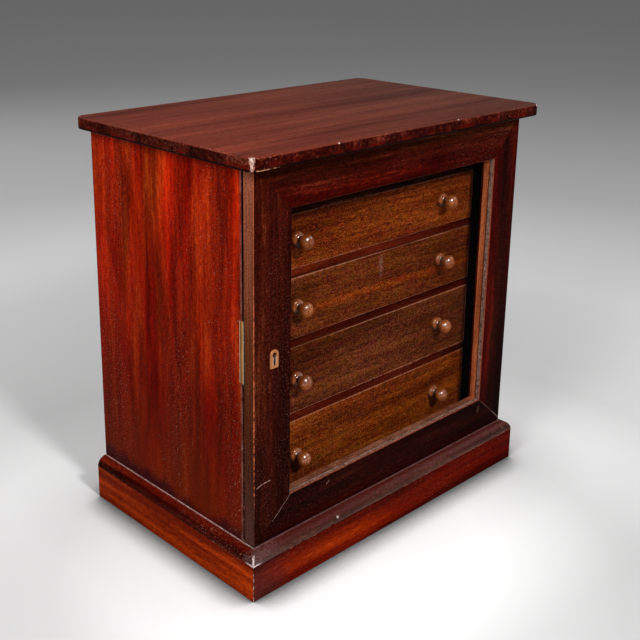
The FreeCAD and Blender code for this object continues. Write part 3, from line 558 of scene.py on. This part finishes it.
def wire(name, points, closed=False, radii=None):
    """A mesh of edges through these points, or of points alone where closed is None. The radii
    stay with the points as their girth."""
    made = bpy.data.meshes.new(name)
    count = len(points)
    runs = [] if closed is None else [(i, (i + 1) % count) for i in range(count - (not closed))]
    made.from_pydata([Vector(p) for p in points], runs, [])
    if radii:
        kept = made.attributes.new("girth", "FLOAT", "POINT")
        kept.data.foreach_set("value", radii)
    return made


def grown(name, tree, start, values, node, body, finish, angle=30):
    """Grows a tree from a start mesh, keeps the result as a plain mesh in place of a CAD node."""
    piece = bpy.data.objects.new(name, start)
    bpy.context.collection.objects.link(piece)
    grower = piece.modifiers.new("growth", "NODES")
    grower.node_group = tree
    for item in tree.interface.items_tree:
        if item.in_out == "INPUT" and item.name in values:
            grower[item.identifier] = values[item.name]
    bpy.context.view_layer.update()
    seen = piece.evaluated_get(bpy.context.evaluated_depsgraph_get())
    plain = bpy.data.meshes.new_from_object(seen)
    piece.modifiers.clear()
    piece.data = plain
    shell = bmesh.new()
    shell.from_mesh(plain)
    bmesh.ops.remove_doubles(shell, verts=shell.verts, dist=1e-6)
    bmesh.ops.recalc_face_normals(shell, faces=shell.faces)
    for face in shell.faces:
        face.smooth = True
    shell.to_mesh(plain)
    shell.free()
    plain.set_sharp_from_angle(angle=math.radians(angle))
    plain.materials.clear()
    plain.materials.append(finish)
    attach(piece, body)
    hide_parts(node)


moulding_tree, given = growth("moulding run", {
    "Start": "Vector", "End": "Vector", "Step": "Float", "Mitre at Start": "Float",
    "Mitre at End": "Float", "Chip Depth": "Float", "Finish": "Material"})
begin, finish_at = given.other("Start"), given.other("End")
line = given.add("GeometryNodeCurvePrimitiveLine", {"mode": "POINTS"},
                 {"Start": begin, "End": finish_at})
line = given.add("GeometryNodeResampleCurve", {"mode": "LENGTH"},
                 {"Curve": line, "Length": given.other("Step")})
line = given.add("GeometryNodeSetCurveNormal", {"mode": "Z_UP"}, {"Curve": line})
section = given.add("GeometryNodeMeshToCurve", {}, {"Mesh": given})
swept = given.add("GeometryNodeCurveToMesh", {}, {
    "Curve": line, "Profile Curve": section, "Fill Caps": True})
run = given.vector("NORMALIZE", given.vector("SUBTRACT", finish_at, begin))
out = given.vector("CROSS_PRODUCT", run, (0, 0, 1))
spot = given.vector("SUBTRACT", given.add("GeometryNodeInputPosition"), begin)
share = given.vector("DOT_PRODUCT", spot, run) / given.vector("DISTANCE", finish_at, begin)
proud = given.vector("DOT_PRODUCT", spot, out)
slide = proud * (share * given.other("Mitre at End") - (1 - share) * given.other("Mitre at Start"))
lumps = clouds(given, given.add("GeometryNodeInputPosition"), 95, 3.0, 0.6)
chip = lumps.above(0.60, 0.72) * proud.above(0.004, 0.0095) * given.other("Chip Depth")
shift = given.vector("SUBTRACT", run.scaled(slide), out.scaled(chip))
ripen(given, given.add("GeometryNodeSetPosition", {}, {"Geometry": swept, "Offset": shift}))

front_tones = [(0.0, (0.018, 0.0026, 0.0016)), (0.5, (0.044, 0.0110, 0.0062)),
               (1.0, (0.110, 0.0340, 0.0200))]
flank_tones = [(0.0, (0.014, 0.0006, 0.0002)), (0.5, (0.070, 0.0022, 0.0006)),
               (1.0, (0.240, 0.0170, 0.0050))]
low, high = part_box("plinth_moulding_front")
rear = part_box("plinth_moulding_left")[1][1]
tall, wide = high[2] - low[2], -half_case - low[0]
quarter = [(wide * math.cos(a), tall * math.sin(a))
           for a in (math.radians(90 * step / 14) for step in range(15))]
back_edge = low[1] + wide
nick_at = (-0.0935, -0.1317, 0.0440)


def chipped(front):
    """A dark red band under a pale line at the top of the round, the pale line a painted
    highlight, pale breaks about the mitre, and on the flanks a nearly black foot. The heights are
    above the floor."""
    brow_low, brow_high, dark, fillet, pale_deep, pale, dull_reach = (
        (0.0436, 0.0466, 0.8, (0.060, 0.0060, 0.0042), 0.0014, 0.22, 0.048) if front else
        (0.0466, 0.0476, 0.6, (0.088, 0.0055, 0.0010), 0.0022, 0.85, 0.018))

    def local(w, place, colour):
        x, y, z = axes(w, place)
        lumps = clouds(w, place, 230, 3.0, 0.7)
        drift = (lumps - 0.5) * 0.0010
        uneven = z + drift
        colour = (uneven.above(brow_low, brow_high) * dark).mixed(colour, fillet)
        if not front:
            colour = uneven.below(0.0448, 0.0484).tinted(colour, (0.19, 0.27, 0.50))
        proud = back_edge - y if front else abs(x) - half_case
        # A painted highlight: a pale line along the top of the moulding, where it meets the case.
        painted_highlight_line = (proud + drift).below(0.0009, pale_deep)
        colour = (painted_highlight_line * pale).mixed(colour, (0.330, 0.200, 0.190))
        gap = w.vector("DISTANCE", place, (-plinth_x, -plinth_y, 0.045))
        dull = gap.below(0.008, dull_reach)
        colour = (dull * lumps.above(0.30, 0.60) * 0.6).mixed(colour, (0.105, 0.058, 0.056))
        mitre = abs(x - y + (plinth_x - plinth_y))
        broken = (mitre + drift * 6).below(0.0006, 0.0018) * z.below(0.0452, 0.0480)
        flare = uneven.below(0.0396, 0.0404) * gap.below(0.0075, 0.0130)
        nick = w.vector("DISTANCE", place, nick_at)
        nick = (nick + drift * 5).below(0.0012, 0.0022) * lumps.above(0.46, 0.54)
        return broken.most(nick).most(flare).mixed(colour, (0.56, 0.44, 0.43))
    return local


for node, shift, begin, end, mitres in (
        ("plinth_moulding_front", 41.0, (-half_case, back_edge), (half_case, back_edge), (1, 1)),
        ("plinth_moulding_left", 43.0, (-half_case, rear), (-half_case, back_edge), (0, 1)),
        ("plinth_moulding_right", 45.0, (half_case, back_edge), (half_case, rear), (1, 0))):
    front = node.endswith("front")
    made = mahogany(node, 0 if front else 1, front_tones if front else flank_tones, shift=shift,
                    grit=1.2, dust=0.6, wear=0.6 if front else 0.3, wear_and_highlight_colour=(0.36, 0.16, 0.09),
                    nicks=0.15, local=chipped(front), shine=0.14 if front else 0.005)
    # The front one has a flat ledge that runs back under the door
    ledge = high[1] - back_edge if front else 0.0
    outline = [(u, -v, 0) for u, v in quarter] + [(-ledge, -tall, 0)] * front + [(-ledge, 0, 0)]
    grown(node + "_run", moulding_tree, wire(node, outline, closed=True), {
        "Start": (*begin, low[2]), "End": (*end, low[2]), "Step": 0.0016,
        "Mitre at Start": float(mitres[0]), "Mitre at End": float(mitres[1]),
        "Chip Depth": 0.0011, "Finish": made}, node, "case", made, angle=35)


# ---- Door frame ----
# Two stiles and two rails of dark mahogany, mitred from corner to corner, with painted light that
# brightens each towards its head. The polish is redder or blacker next to the pane, and the edge
# beside the case has faded to a dusty brown, with painted light brighter upwards and painted black
# shade at its back by the gap.
door_tones = [(0.0, (0.008, 0.0005, 0.0002)), (0.3, (0.019, 0.0015, 0.0007)),
              (0.5, (0.029, 0.0024, 0.0011)), (0.75, (0.042, 0.0038, 0.0018)),
              (1.0, (0.095, 0.0140, 0.0060))]
left_edge = -half_case
pane_low, pane_high = (-0.153, 0.0908), (0.157, 0.3829)
front_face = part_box("door_lock_stile")[0][1]


def scored(w, place, start, end, width):
    """1 on a fine straight scratch in the face, between two points across and up it."""
    (x, z), (u, v) = start, end
    run = math.hypot(u - x, v - z)
    moved = w.vector("SUBTRACT", place, (x, 0, z))
    far = w.vector("DOT_PRODUCT", moved, ((u - x) / run, 0, (v - z) / run))
    off = w.vector("DOT_PRODUCT", moved, ((z - v) / run, 0, (u - x) / run))
    return (abs(off).below(width * 0.3, width) * far.above(0, 0.001)
            * far.below(run - 0.001, run))


# Each from one point to another, across and up the door, with its width and its strength
scratches = [((-0.1520, 0.0900), (-0.1766, 0.0686), 0.0005, 0.55),
             ((-0.1975, 0.1128), (-0.1885, 0.1152), 0.0006, 0.8),
             ((-0.1890, 0.1151), (-0.1788, 0.1157), 0.0006, 0.8),
             ((0.1840, 0.0675), (0.1995, 0.0535), 0.0006, 0.55),
             ((0.1580, 0.0900), (0.1840, 0.0675), 0.0006, 0.16),
             ((-0.1018, 0.0800), (-0.0960, 0.0838), 0.0010, 0.35),
             ((0.1552, 0.0740), (0.1575, 0.0830), 0.0016, 0.16)]


def door_member(inner_axis, inner_at, outward, bright, outer_cast, inner_cast, inner_reach,
                fronted):
    """The polish of one member, and how far a point is from its rubbed front arris. It lies
    outward of the pane's edge at inner_at. bright is the painted light at the foot and the head,
    inner_cast colours it next to the pane, as far as inner_reach, and outer_cast further out.
    The fronted one shows its faded edge beside the case, with painted light brighter upwards and
    painted black shade at its back."""
    def apart(w, place):
        """How far a point is across, behind the face, up, and from the pane."""
        parts = axes(w, place)
        return parts[0], parts[1] - front_face, parts[2], (parts[inner_axis] - inner_at) * outward

    def rim(w, place):
        x, deep, z, _ = apart(w, place)
        if fronted:
            return deep.most(x - left_edge) + z.below(0.06, 0.40) * 0.0006
        return deep + 1

    def local(w, place, colour):
        x, deep, z, from_pane = apart(w, place)
        wander = (clouds(w, place, 24) - 0.5) * 0.018
        # Painted light: each member brighter towards its head, from bright[0] at the foot to
        # bright[1].
        colour = colour.scaled(z.above(0.07, 0.41) * (bright[1] - bright[0]) + bright[0])
        colour = (from_pane + wander).above(0.026, 0.036).tinted(colour, outer_cast)
        inner = (from_pane + wander * 0.5).below(inner_reach * 0.4, inner_reach)
        colour = inner.tinted(colour, inner_cast)
        for start, end, width, depth in scratches:
            colour = (scored(w, place, start, end, width) * depth).mixed(
                colour, (0.34, 0.19, 0.16))

        threads = clouds(w, place, 480, pull=(1, 1, 0.03)) - 0.5
        grime = clouds(w, place, 210, 4.0, 0.7) - 0.5
        inside = deep.above(0.0003, 0.0009)
        # Painted light on the faded edge face: brighter upwards, with threads of grain and grime.
        lit = z.above(0.10, 0.41) * 0.80 + 0.06 + threads * 0.8 + grime * 0.2
        edge_face_with_painted_light = w.add("ShaderNodeValToRGB", {"stops": [
            (0.0, (0.018, 0.0022, 0.0008)), (0.45, (0.086, 0.0200, 0.0060)),
            (1.0, (0.300, 0.0860, 0.0460))]}, {"Fac": lit.held()})
        edge_face_with_painted_light = (z.below(0.05, 0.16) * 0.55).mixed(edge_face_with_painted_light, (0.095, 0.0400, 0.0300))
        # Painted shade: the back of the edge face black, by the gap to the case.
        edge_face_with_painted_light = deep.above(0.0128, 0.0137).mixed(edge_face_with_painted_light, (0.005, 0.0015, 0.0012))
        faded_edge_face = inside * x.below(left_edge + 0.0002, left_edge + 0.0008)
        colour = faded_edge_face.mixed(colour, edge_face_with_painted_light)
        chalky = (grime * 3.0 + threads + 0.5).held().mixed((0.070, 0.0340, 0.0250),
                                                            (0.300, 0.1650, 0.1250))
        reveal = inside * from_pane.below(0.0002, 0.0008)
        colour = reveal.mixed(colour, chalky)
        if not fronted:
            arris = (deep.most(from_pane) + grime * 0.0012).below(0.0006, 0.0010)
            arris = arris * (0.12 if inner_at == pane_high[1] else 0.8)
            colour = arris.mixed(colour, (0.230, 0.0480, 0.0220))
        return colour
    return local, rim


for node, along, side, bright, outer_cast, inner_cast, inner_reach, fronted, dust, shift in (
        ("door_lock_stile", 2, (0, pane_low[0], -1), (0.58, 1.18), (1.05, 1.20, 0.90),
         (0.85, 0.80, 0.90), 0.009, True, 0.45, 51.0),
        ("door_hinge_stile", 2, (0, pane_high[0], 1), (0.28, 0.92), (0.70, 0.28, 0.16),
         (2.10, 0.34, 0.10), 0.020, False, 0.15, 53.0),
        ("door_top_rail", 0, (2, pane_high[1], 1), (0.60, 1.12), (1.05, 1.80, 0.70),
         (1.00, 0.40, 0.28), 0.024, False, 0.40, 55.0),
        ("door_bottom_rail", 0, (2, pane_low[1], -1), (0.34, 0.54), (1.30, 0.42, 0.28),
         (0.70, 0.30, 0.24), 0.010, False, 0.20, 57.0)):
    local, rim = door_member(*side, bright, outer_cast, inner_cast, inner_reach, fronted)
    wears(node, mahogany(node, along, door_tones, shift=shift, ribbon=0.8, streak=0.8, grit=1.2,
                         dust=dust, wear=0.9, whole=1.0, wear_and_highlight_colour=(0.44, 0.110, 0.046), edge=rim,
                         local=local))


# ---- Glazing beads ----
# Thin mitred strips that hold the pane from behind, level with the edge of the opening. They are
# of a bare pinkish brown, and the one on the hinge side is painted brighter and oranger, as
# painted light.
bead_tones = [(0.0, (0.110, 0.0300, 0.0140)), (0.5, (0.190, 0.0620, 0.0330)),
              (1.0, (0.300, 0.1150, 0.0650))]


def painted_light_hinge_side(w, place, colour):
    """Painted light: brighter and oranger on the hinge side."""
    return axes(w, place)[0].above(0.146, 0.154).tinted(colour, (1.9, 1.30, 0.80))


wears("glazing_beads", mahogany("glazing_beads", 2, bead_tones, shift=61, grit=0.9, dust=0.35,
                                wear=0.5, whole=0.5, local=painted_light_hinge_side))


# ---- Pane ----
# A sheet of thin drawn glass in the rebate of the door, held there by the beads, with a little
# dust on it.
finish, g = fresh("glass")
place = g.add("ShaderNodeTexCoord", out="Object")
dusty = clouds(g, place, 12, 4.0)
clear = g.add("ShaderNodeBsdfTransparent", {}, {"Color": (0.985, 0.99, 0.985, 1)})
sheen = g.add("ShaderNodeBsdfPrincipled", {}, {
    "Base Color": (0.02, 0.02, 0.02, 1), "Roughness": dusty * 0.06 + 0.02, "IOR": 1.5})
facing = g.add("ShaderNodeLayerWeight", {}, {"Blend": 0.5}, out="Facing")
glance = g.sum("POWER", facing, 5.0) * 0.4
close(g, g.add("ShaderNodeMixShader", {}, {0: glance + dusty * 0.001, 1: clear, 2: sheen}))
wears("glass_pane", finish)


# ---- Brass and steel ----
# The keyhole plate, let into the stile, the butt hinges and the plate let into the case edge are
# rolled brass, browned in patches. The lock with its plate, pin, spring and bolt is steel.
def metal(name, bright, dull, rough=0.3, local=None):
    """Rolled metal, its bright and its dull colour in clouds, scratched lengthwise."""
    finish, m = fresh(name)
    place = m.add("ShaderNodeTexCoord", out="Object")
    cloud, lines = clouds(m, place, 60, 4.0, 0.65), clouds(m, place, 2600, pull=(1, 1, 0.05))
    colour = cloud.above(0.35, 0.7).mixed(bright, dull)
    if local:
        colour = local(m, place, colour)
    bump = m.add("ShaderNodeBump", {}, {
        "Strength": 0.2, "Distance": 0.0001, "Height": lines + cloud})
    close(m, m.add("ShaderNodeBsdfPrincipled", {}, {
        "Base Color": colour, "Metallic": 1.0, "Normal": bump,
        "Roughness": cloud * 0.25 + lines * 0.1 + rough}))
    return finish


brass = metal("brass", (0.55, 0.28, 0.12), (0.16, 0.065, 0.03))
steel = metal("steel", (0.42, 0.40, 0.38), (0.16, 0.13, 0.11), rough=0.35)
for node in ("case_hinge_leaves", "door_hinge_leaves", "hinge_pins"):
    wears(node, brass)
for node in ("lock_case", "lock_pin", "lock_spring", "lock_bolt"):
    wears(node, steel)


def fingered(m, place, colour):
    """Brown with handling, but bright along its front and rear edges."""
    y = axes(m, place)[1]
    dark = y.above(side_front + 0.0026, side_front + 0.0034)
    colour = (dark * 0.7).tinted(colour, (0.24, 0.22, 0.20))
    rear = y.above(side_front + 0.0045, side_front + 0.0049)
    colour = rear.mixed(colour, (0.72, 0.60, 0.50))
    fore = y.below(side_front + 0.0005, side_front + 0.0008)
    return fore.mixed(colour, (0.86, 0.62, 0.40))


def blackened(m, place, colour):
    """Steel whose outer edge has gone black, with a few bare silver specks."""
    chips = clouds(m, place, 700, 1.0)
    black = chips.above(0.66, 0.70).mixed((0.022, 0.019, 0.018), (0.50, 0.48, 0.46))
    return axes(m, place)[0].above(left_edge + 0.0004, left_edge + 0.0016).mixed(black, colour)


plate_low, plate_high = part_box("escutcheon")


def ringed(m, place, colour):
    """Darker towards its rounded rim, with a bare bevel low in the keyhole, its pale colour partly
    a painted highlight.
    """
    x, _, z = axes(m, place)
    side = (plate_high[0] - plate_low[0]) / 2 - abs(x - (plate_high[0] + plate_low[0]) / 2)
    colour = (side.below(0.0008, 0.0018) * 0.5).mixed(colour, (0.30, 0.10, 0.04))
    # The bare bevel low in the keyhole, its pale colour partly bare metal and partly a painted
    # highlight.
    bevel_and_painted_highlight = side.above(0.0034, 0.0040) * z.below(0.2440, 0.2446) * z.above(0.2343, 0.2348)
    return (bevel_and_painted_highlight * 0.7).mixed(colour, (0.80, 0.72, 0.66))


wears("link_plate", metal("old brass", (0.50, 0.225, 0.050), (0.27, 0.110, 0.018), rough=0.4,
                          local=fingered))
wears("lock_plate", metal("dull steel", (0.30, 0.28, 0.26), (0.10, 0.085, 0.075), rough=0.42,
                          local=blackened))
wears("escutcheon", metal("copper brass", (0.66, 0.26, 0.10), (0.46, 0.16, 0.05), rough=0.32,
                          local=ringed))


# ---- Screws ----
# Countersunk slotted screws, let in flush, each stopped at its own angle: brass in the hinges and
# the plate on the case, steel in the lock, the back panel and the top board.
screw_tree, given = growth("slotted screws", {
    "Head": "Float", "Shank": "Float", "Length": "Float", "Slot Width": "Float",
    "Slot Depth": "Float", "Driven": "Rotation", "Seed": "Int", "Finish": "Material"})
head, shank = given.other("Head"), given.other("Shank")
taper = head - shank
cone = given.add("GeometryNodeMeshCone", {}, {
    "Vertices": 28, "Radius Bottom": head * 0.985, "Radius Top": shank, "Depth": taper})
rod = given.add("GeometryNodeMeshCylinder", {}, {
    "Vertices": 28, "Radius": shank * 0.999, "Depth": given.other("Length") - taper * 0.5})
rod = given.add("GeometryNodeTransform", {}, {"Geometry": rod, "Translation": given.add(
    "ShaderNodeCombineXYZ", {}, {"Z": given.other("Length") / 2 + taper * 0.25})})
screw = given.add("GeometryNodeMeshBoolean", {"operation": "UNION", "solver": "EXACT"}, {1: cone})
given.tree.links.new(rod.socket, screw.socket.node.inputs[1])
blade = given.add("GeometryNodeMeshCube", {}, {"Size": given.add("ShaderNodeCombineXYZ", {}, {
    "X": head * 2.2, "Y": given.other("Slot Width"), "Z": given.other("Slot Depth") * 2})})
screw = given.add("GeometryNodeMeshBoolean", {"operation": "DIFFERENCE", "solver": "EXACT"}, {
    0: screw, 1: blade})
placed = given.add("GeometryNodeInstanceOnPoints", {}, {
    "Points": given.add("GeometryNodeMeshToPoints", {}, {"Mesh": given}), "Instance": screw,
    "Rotation": given.other("Driven")})
spin = given.add("FunctionNodeRandomValue", {"data_type": "FLOAT"}, {
    2: 0.0, 3: 3.14, "Seed": given.other("Seed")}, out=1)
ripen(given, given.add("GeometryNodeRotateInstances", {}, {
    "Instances": placed, "Rotation": given.add("ShaderNodeCombineXYZ", {}, {"Z": spin})}))

# Which way a screw is driven, as the turn of one that is driven upwards
forwards, backwards, upwards = (math.pi / 2, 0, 0), (-math.pi / 2, 0, 0), (0, 0, 0)


def shanks(node, head, across, up, deep, driven):
    """The middles of the flush heads, from the node's box and the rows' shares of its length."""
    low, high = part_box(node)
    xs, ys, zs = ([low[i] + head + (high[i] - low[i] - 2 * head) * share for share in shares]
                  for i, shares in enumerate((across, deep, up)))
    if driven is upwards:
        return [(x, y, low[2]) for x in xs for y in ys]
    face = low[1] if driven is backwards else high[1]
    return [(x, face, z) for x in xs for z in zs]


hinge_low, hinge_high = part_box("case_hinge_screws")
hinge_head, hinge_pitch = 0.0019, 0.013
row = hinge_pitch / (hinge_high[2] - hinge_low[2] - 2 * hinge_head)
hinge_rows = [0, row, 2 * row, 1 - 2 * row, 1 - row, 1]
# Head and shank are radii, in mm as the length is
for number, (node, body, finish, head, shank, length, across, up, deep, driven) in enumerate((
        ("case_hinge_screws", "case", brass, 1.9, 0.9, 9.0, [0], hinge_rows, [], backwards),
        ("door_hinge_screws", "door", brass, 1.9, 0.9, 9.0, [0], hinge_rows, [], forwards),
        ("link_screws", "case", brass, 2.4, 1.2, 16.0, [0], [0, 1], [], backwards),
        ("lock_screws", "door", steel, 1.9, 0.9, 8.5, [0, 1], [0, 1], [], forwards),
        ("back_screws", "case", steel, 3.2, 1.6, 22.0, [0, 1], [0, 0.25, 0.5, 0.75, 1], [],
         forwards),
        ("top_screws", "case", steel, 3.6, 1.8, 19.0, [0, 1], [], [0, 0.5, 1], upwards))):
    places = shanks(node, head / 1000, across, up, deep, driven)
    grown(node + "_slotted", screw_tree, wire(node, places, closed=None), {
        "Head": head / 1000, "Shank": shank / 1000, "Length": length / 1000,
        "Slot Width": 0.0006, "Slot Depth": 0.0005, "Driven": driven, "Seed": number,
        "Finish": finish}, node, body, finish)


# ---- Drawers ----
# Four drawers that deepen downwards. The fronts are a browner, flecked mahogany, each of its own
# board; the boxes behind them are plain, dovetailed at the front and the back, their bottoms
# slid into grooves.
front_colours = {1: (0.110, 0.0162, 0.0022), 2: (0.074, 0.0124, 0.0024),
                 3: (0.070, 0.0126, 0.0030), 4: (0.126, 0.0204, 0.0020)}
stripe_up, smudge_across = 0.2615, 0.0143
figure = ((0.0, (0.36, 0.32, 0.40)), (0.3, (0.78, 0.74, 0.76)), (0.5, (1.0, 1.0, 1.0)),
          (0.75, (1.28, 1.36, 1.40)), (1.0, (2.1, 2.8, 3.0)))
box_tones = [(0.0, (0.12, 0.040, 0.014)), (0.4, (0.19, 0.075, 0.028)),
             (0.7, (0.26, 0.110, 0.044)), (1.0, (0.34, 0.160, 0.070))]


def curled(number):
    """Fine curls of olive and of red, and on the second front a pale stripe and a smudge."""
    def local(w, place, colour):
        hue = clouds(w, place, 150, 4.0, 0.7, 0.6, pull=(0.35, 1, 1), start=(number, 0, 0))
        colour = hue.above(0.50, 0.64).tinted(colour, (0.92, 1.18, 0.70))
        colour = hue.below(0.36, 0.48).tinted(colour, (0.88, 0.62, 1.20))
        x, _, z = axes(w, place)
        if number < 3:
            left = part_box(f"drawer_{number}_front")[0][0]
            pale = (x + hue * 0.02).below(left + 0.012, left + 0.036) * 0.35
            colour = pale.mixed(colour, (0.150, 0.0420, 0.0200))
        if number == 2:
            tall = z + hue * 0.006
            stripe = abs(tall + x * 0.02 - stripe_up).below(0.0020, 0.0060)
            colour = (stripe * 0.8).tinted(colour, (1.9, 1.55, 0.80))
            smudge = (abs(x - smudge_across).below(0.0004, 0.0044) * tall.above(0.268, 0.284)
                      * tall.below(0.290, 0.298))
            colour = (smudge * 0.3).mixed(colour, (0.30, 0.15, 0.12))
        return colour
    return local


for number in (1, 2, 3, 4):
    shift = 70 + number * 5.3
    front = f"drawer_{number}_front"
    tones = [(at, tuple(a * b for a, b in zip(front_colours[number], cast)))
             for at, cast in figure]
    wears(front, mahogany(front, 0, tones, shift=shift, ribbon=0.8, streak=0.9, fleck=2.1,
                          mottle=0.2, grit=1.2, dark=0.7, dust=0.4, wear=0.8, whole=0.9,
                          wear_and_highlight_colour=(0.33, 0.120, 0.070), local=curled(number)))
    for node, along in ((f"drawer_{number}_box", 1), (f"drawer_{number}_bottom", 0)):
        wears(node, mahogany(node, along, box_tones, shift=shift + 1, ribbon=0.6, grit=0.4,
                             dust=0.1, rough=0.6, wear=0.3, shine=0.1, wood="drawer wood"))


# ---- Knobs ----
# Two to a drawer, turned from mahogany with a collar, a neck and a flattened ball, and polished.
# A spigot behind the collar goes through the drawer front.
knob_tree, given = growth("turned knob", {
    "Places": "Object", "Sides": "Int", "Finish": "Material"})
spine = given.add("GeometryNodeMeshToCurve", {}, {"Mesh": given})
girth = given.add("GeometryNodeInputNamedAttribute", {"data_type": "FLOAT"}, {"Name": "girth"})
ring = given.add("GeometryNodeCurvePrimitiveCircle", {"mode": "RADIUS"}, {
    "Resolution": given.other("Sides"), "Radius": 1.0})
turned = given.add("GeometryNodeCurveToMesh", {}, {
    "Curve": spine, "Profile Curve": ring, "Scale": girth, "Fill Caps": True})
spots = given.add("GeometryNodeObjectInfo", {}, {"Object": given.other("Places")}, out="Geometry")
ripen(given, given.add("GeometryNodeInstanceOnPoints", {}, {
    "Points": given.add("GeometryNodeMeshToPoints", {}, {"Mesh": spots}), "Instance": turned}))

# The knob's outline from the drawer front outwards, as distance and radius in millimetres:
# spigot, bulging collar, neck, flattened ball, and the little boss on its end
ball = 7.8
outline = [(-12.0, 3.1), (-0.2, 3.2), (0.0, 7.1), (0.5, 7.35)]
outline += [(0.5 + 4.0 * t / 6, 7.35 + 0.45 * math.sin(math.pi * t / 6)) for t in range(1, 6)]
outline += [(4.5, 7.3), (4.8, 7.0), (5.0, 6.2), (5.15, 4.9), (5.5, 4.3), (6.2, 3.75), (7.0, 3.5),
            (8.2, 3.65), (9.1, 4.2)]
outline += [(14.9 - 6.0 * math.cos(a), ball * math.sin(a) ** 0.85)
            for a in (math.radians(d) for d in range(38, 163, 9))]
outline += [(20.55, 2.7), (20.7, 2.6), (21.1, 2.5), (21.3, 2.1), (21.36, 1.2), (21.36, 0.02)]
knob_tones = [(0.0, (0.120, 0.020, 0.003)), (0.5, (0.235, 0.050, 0.008)),
              (1.0, (0.420, 0.110, 0.016))]


def knob_polish(face, middle):
    """Painted shade, nearly black, under the collar and in the neck, and wax that has stayed on
    the upper side."""
    def painted_shade_at_collar(w, place, colour):
        _, y, z = axes(w, place)
        out = face - y
        # Painted shade: nearly black under the collar and in the neck, where the ball shades it.
        painted_shade_under = out.below(0.0060, 0.0085) * (z - middle[2]).below(-0.0060, -0.0010)
        neck = out.above(0.0054, 0.0060) * out.below(0.0085, 0.0105)
        return painted_shade_under.most(neck * 0.8).mixed(colour, (0.020, 0.004, 0.002))

    def waxed(w, place):
        return (axes(w, place)[2] - middle[2]).above(-0.0010, 0.0030)
    return painted_shade_at_collar, waxed


for number in (1, 2, 3, 4):
    node = f"drawer_{number}_knobs"
    low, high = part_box(node)
    face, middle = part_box(f"drawer_{number}_front")[0][1], (low + high) / 2
    reach = (high[0] - low[0]) / 2 - ball / 1000
    spots = bpy.data.objects.new("knob places", wire("knob places", [
        (side * reach, 0, 0) for side in (-1, 1)], closed=None))
    local, coat = knob_polish(face, middle)
    made = mahogany(node, 1, knob_tones, shift=90 + number, ribbon=0.5, streak=0.3, mottle=0.2,
                    grit=0.15, dark=0.1, dust=0.0, wear=0.0, rough=0.4, shine=0.12, relief=0.03,
                    local=local, coat=coat)
    core = wire(node, [(middle[0], face - h / 1000, middle[2]) for h, r in outline],
                radii=[r / 1000 for h, r in outline])
    grown(node + "_pair", knob_tree, core, {"Places": spots, "Sides": 44, "Finish": made},
          node, f"drawer_{number}", made, angle=40)
    bpy.data.objects.remove(spots)
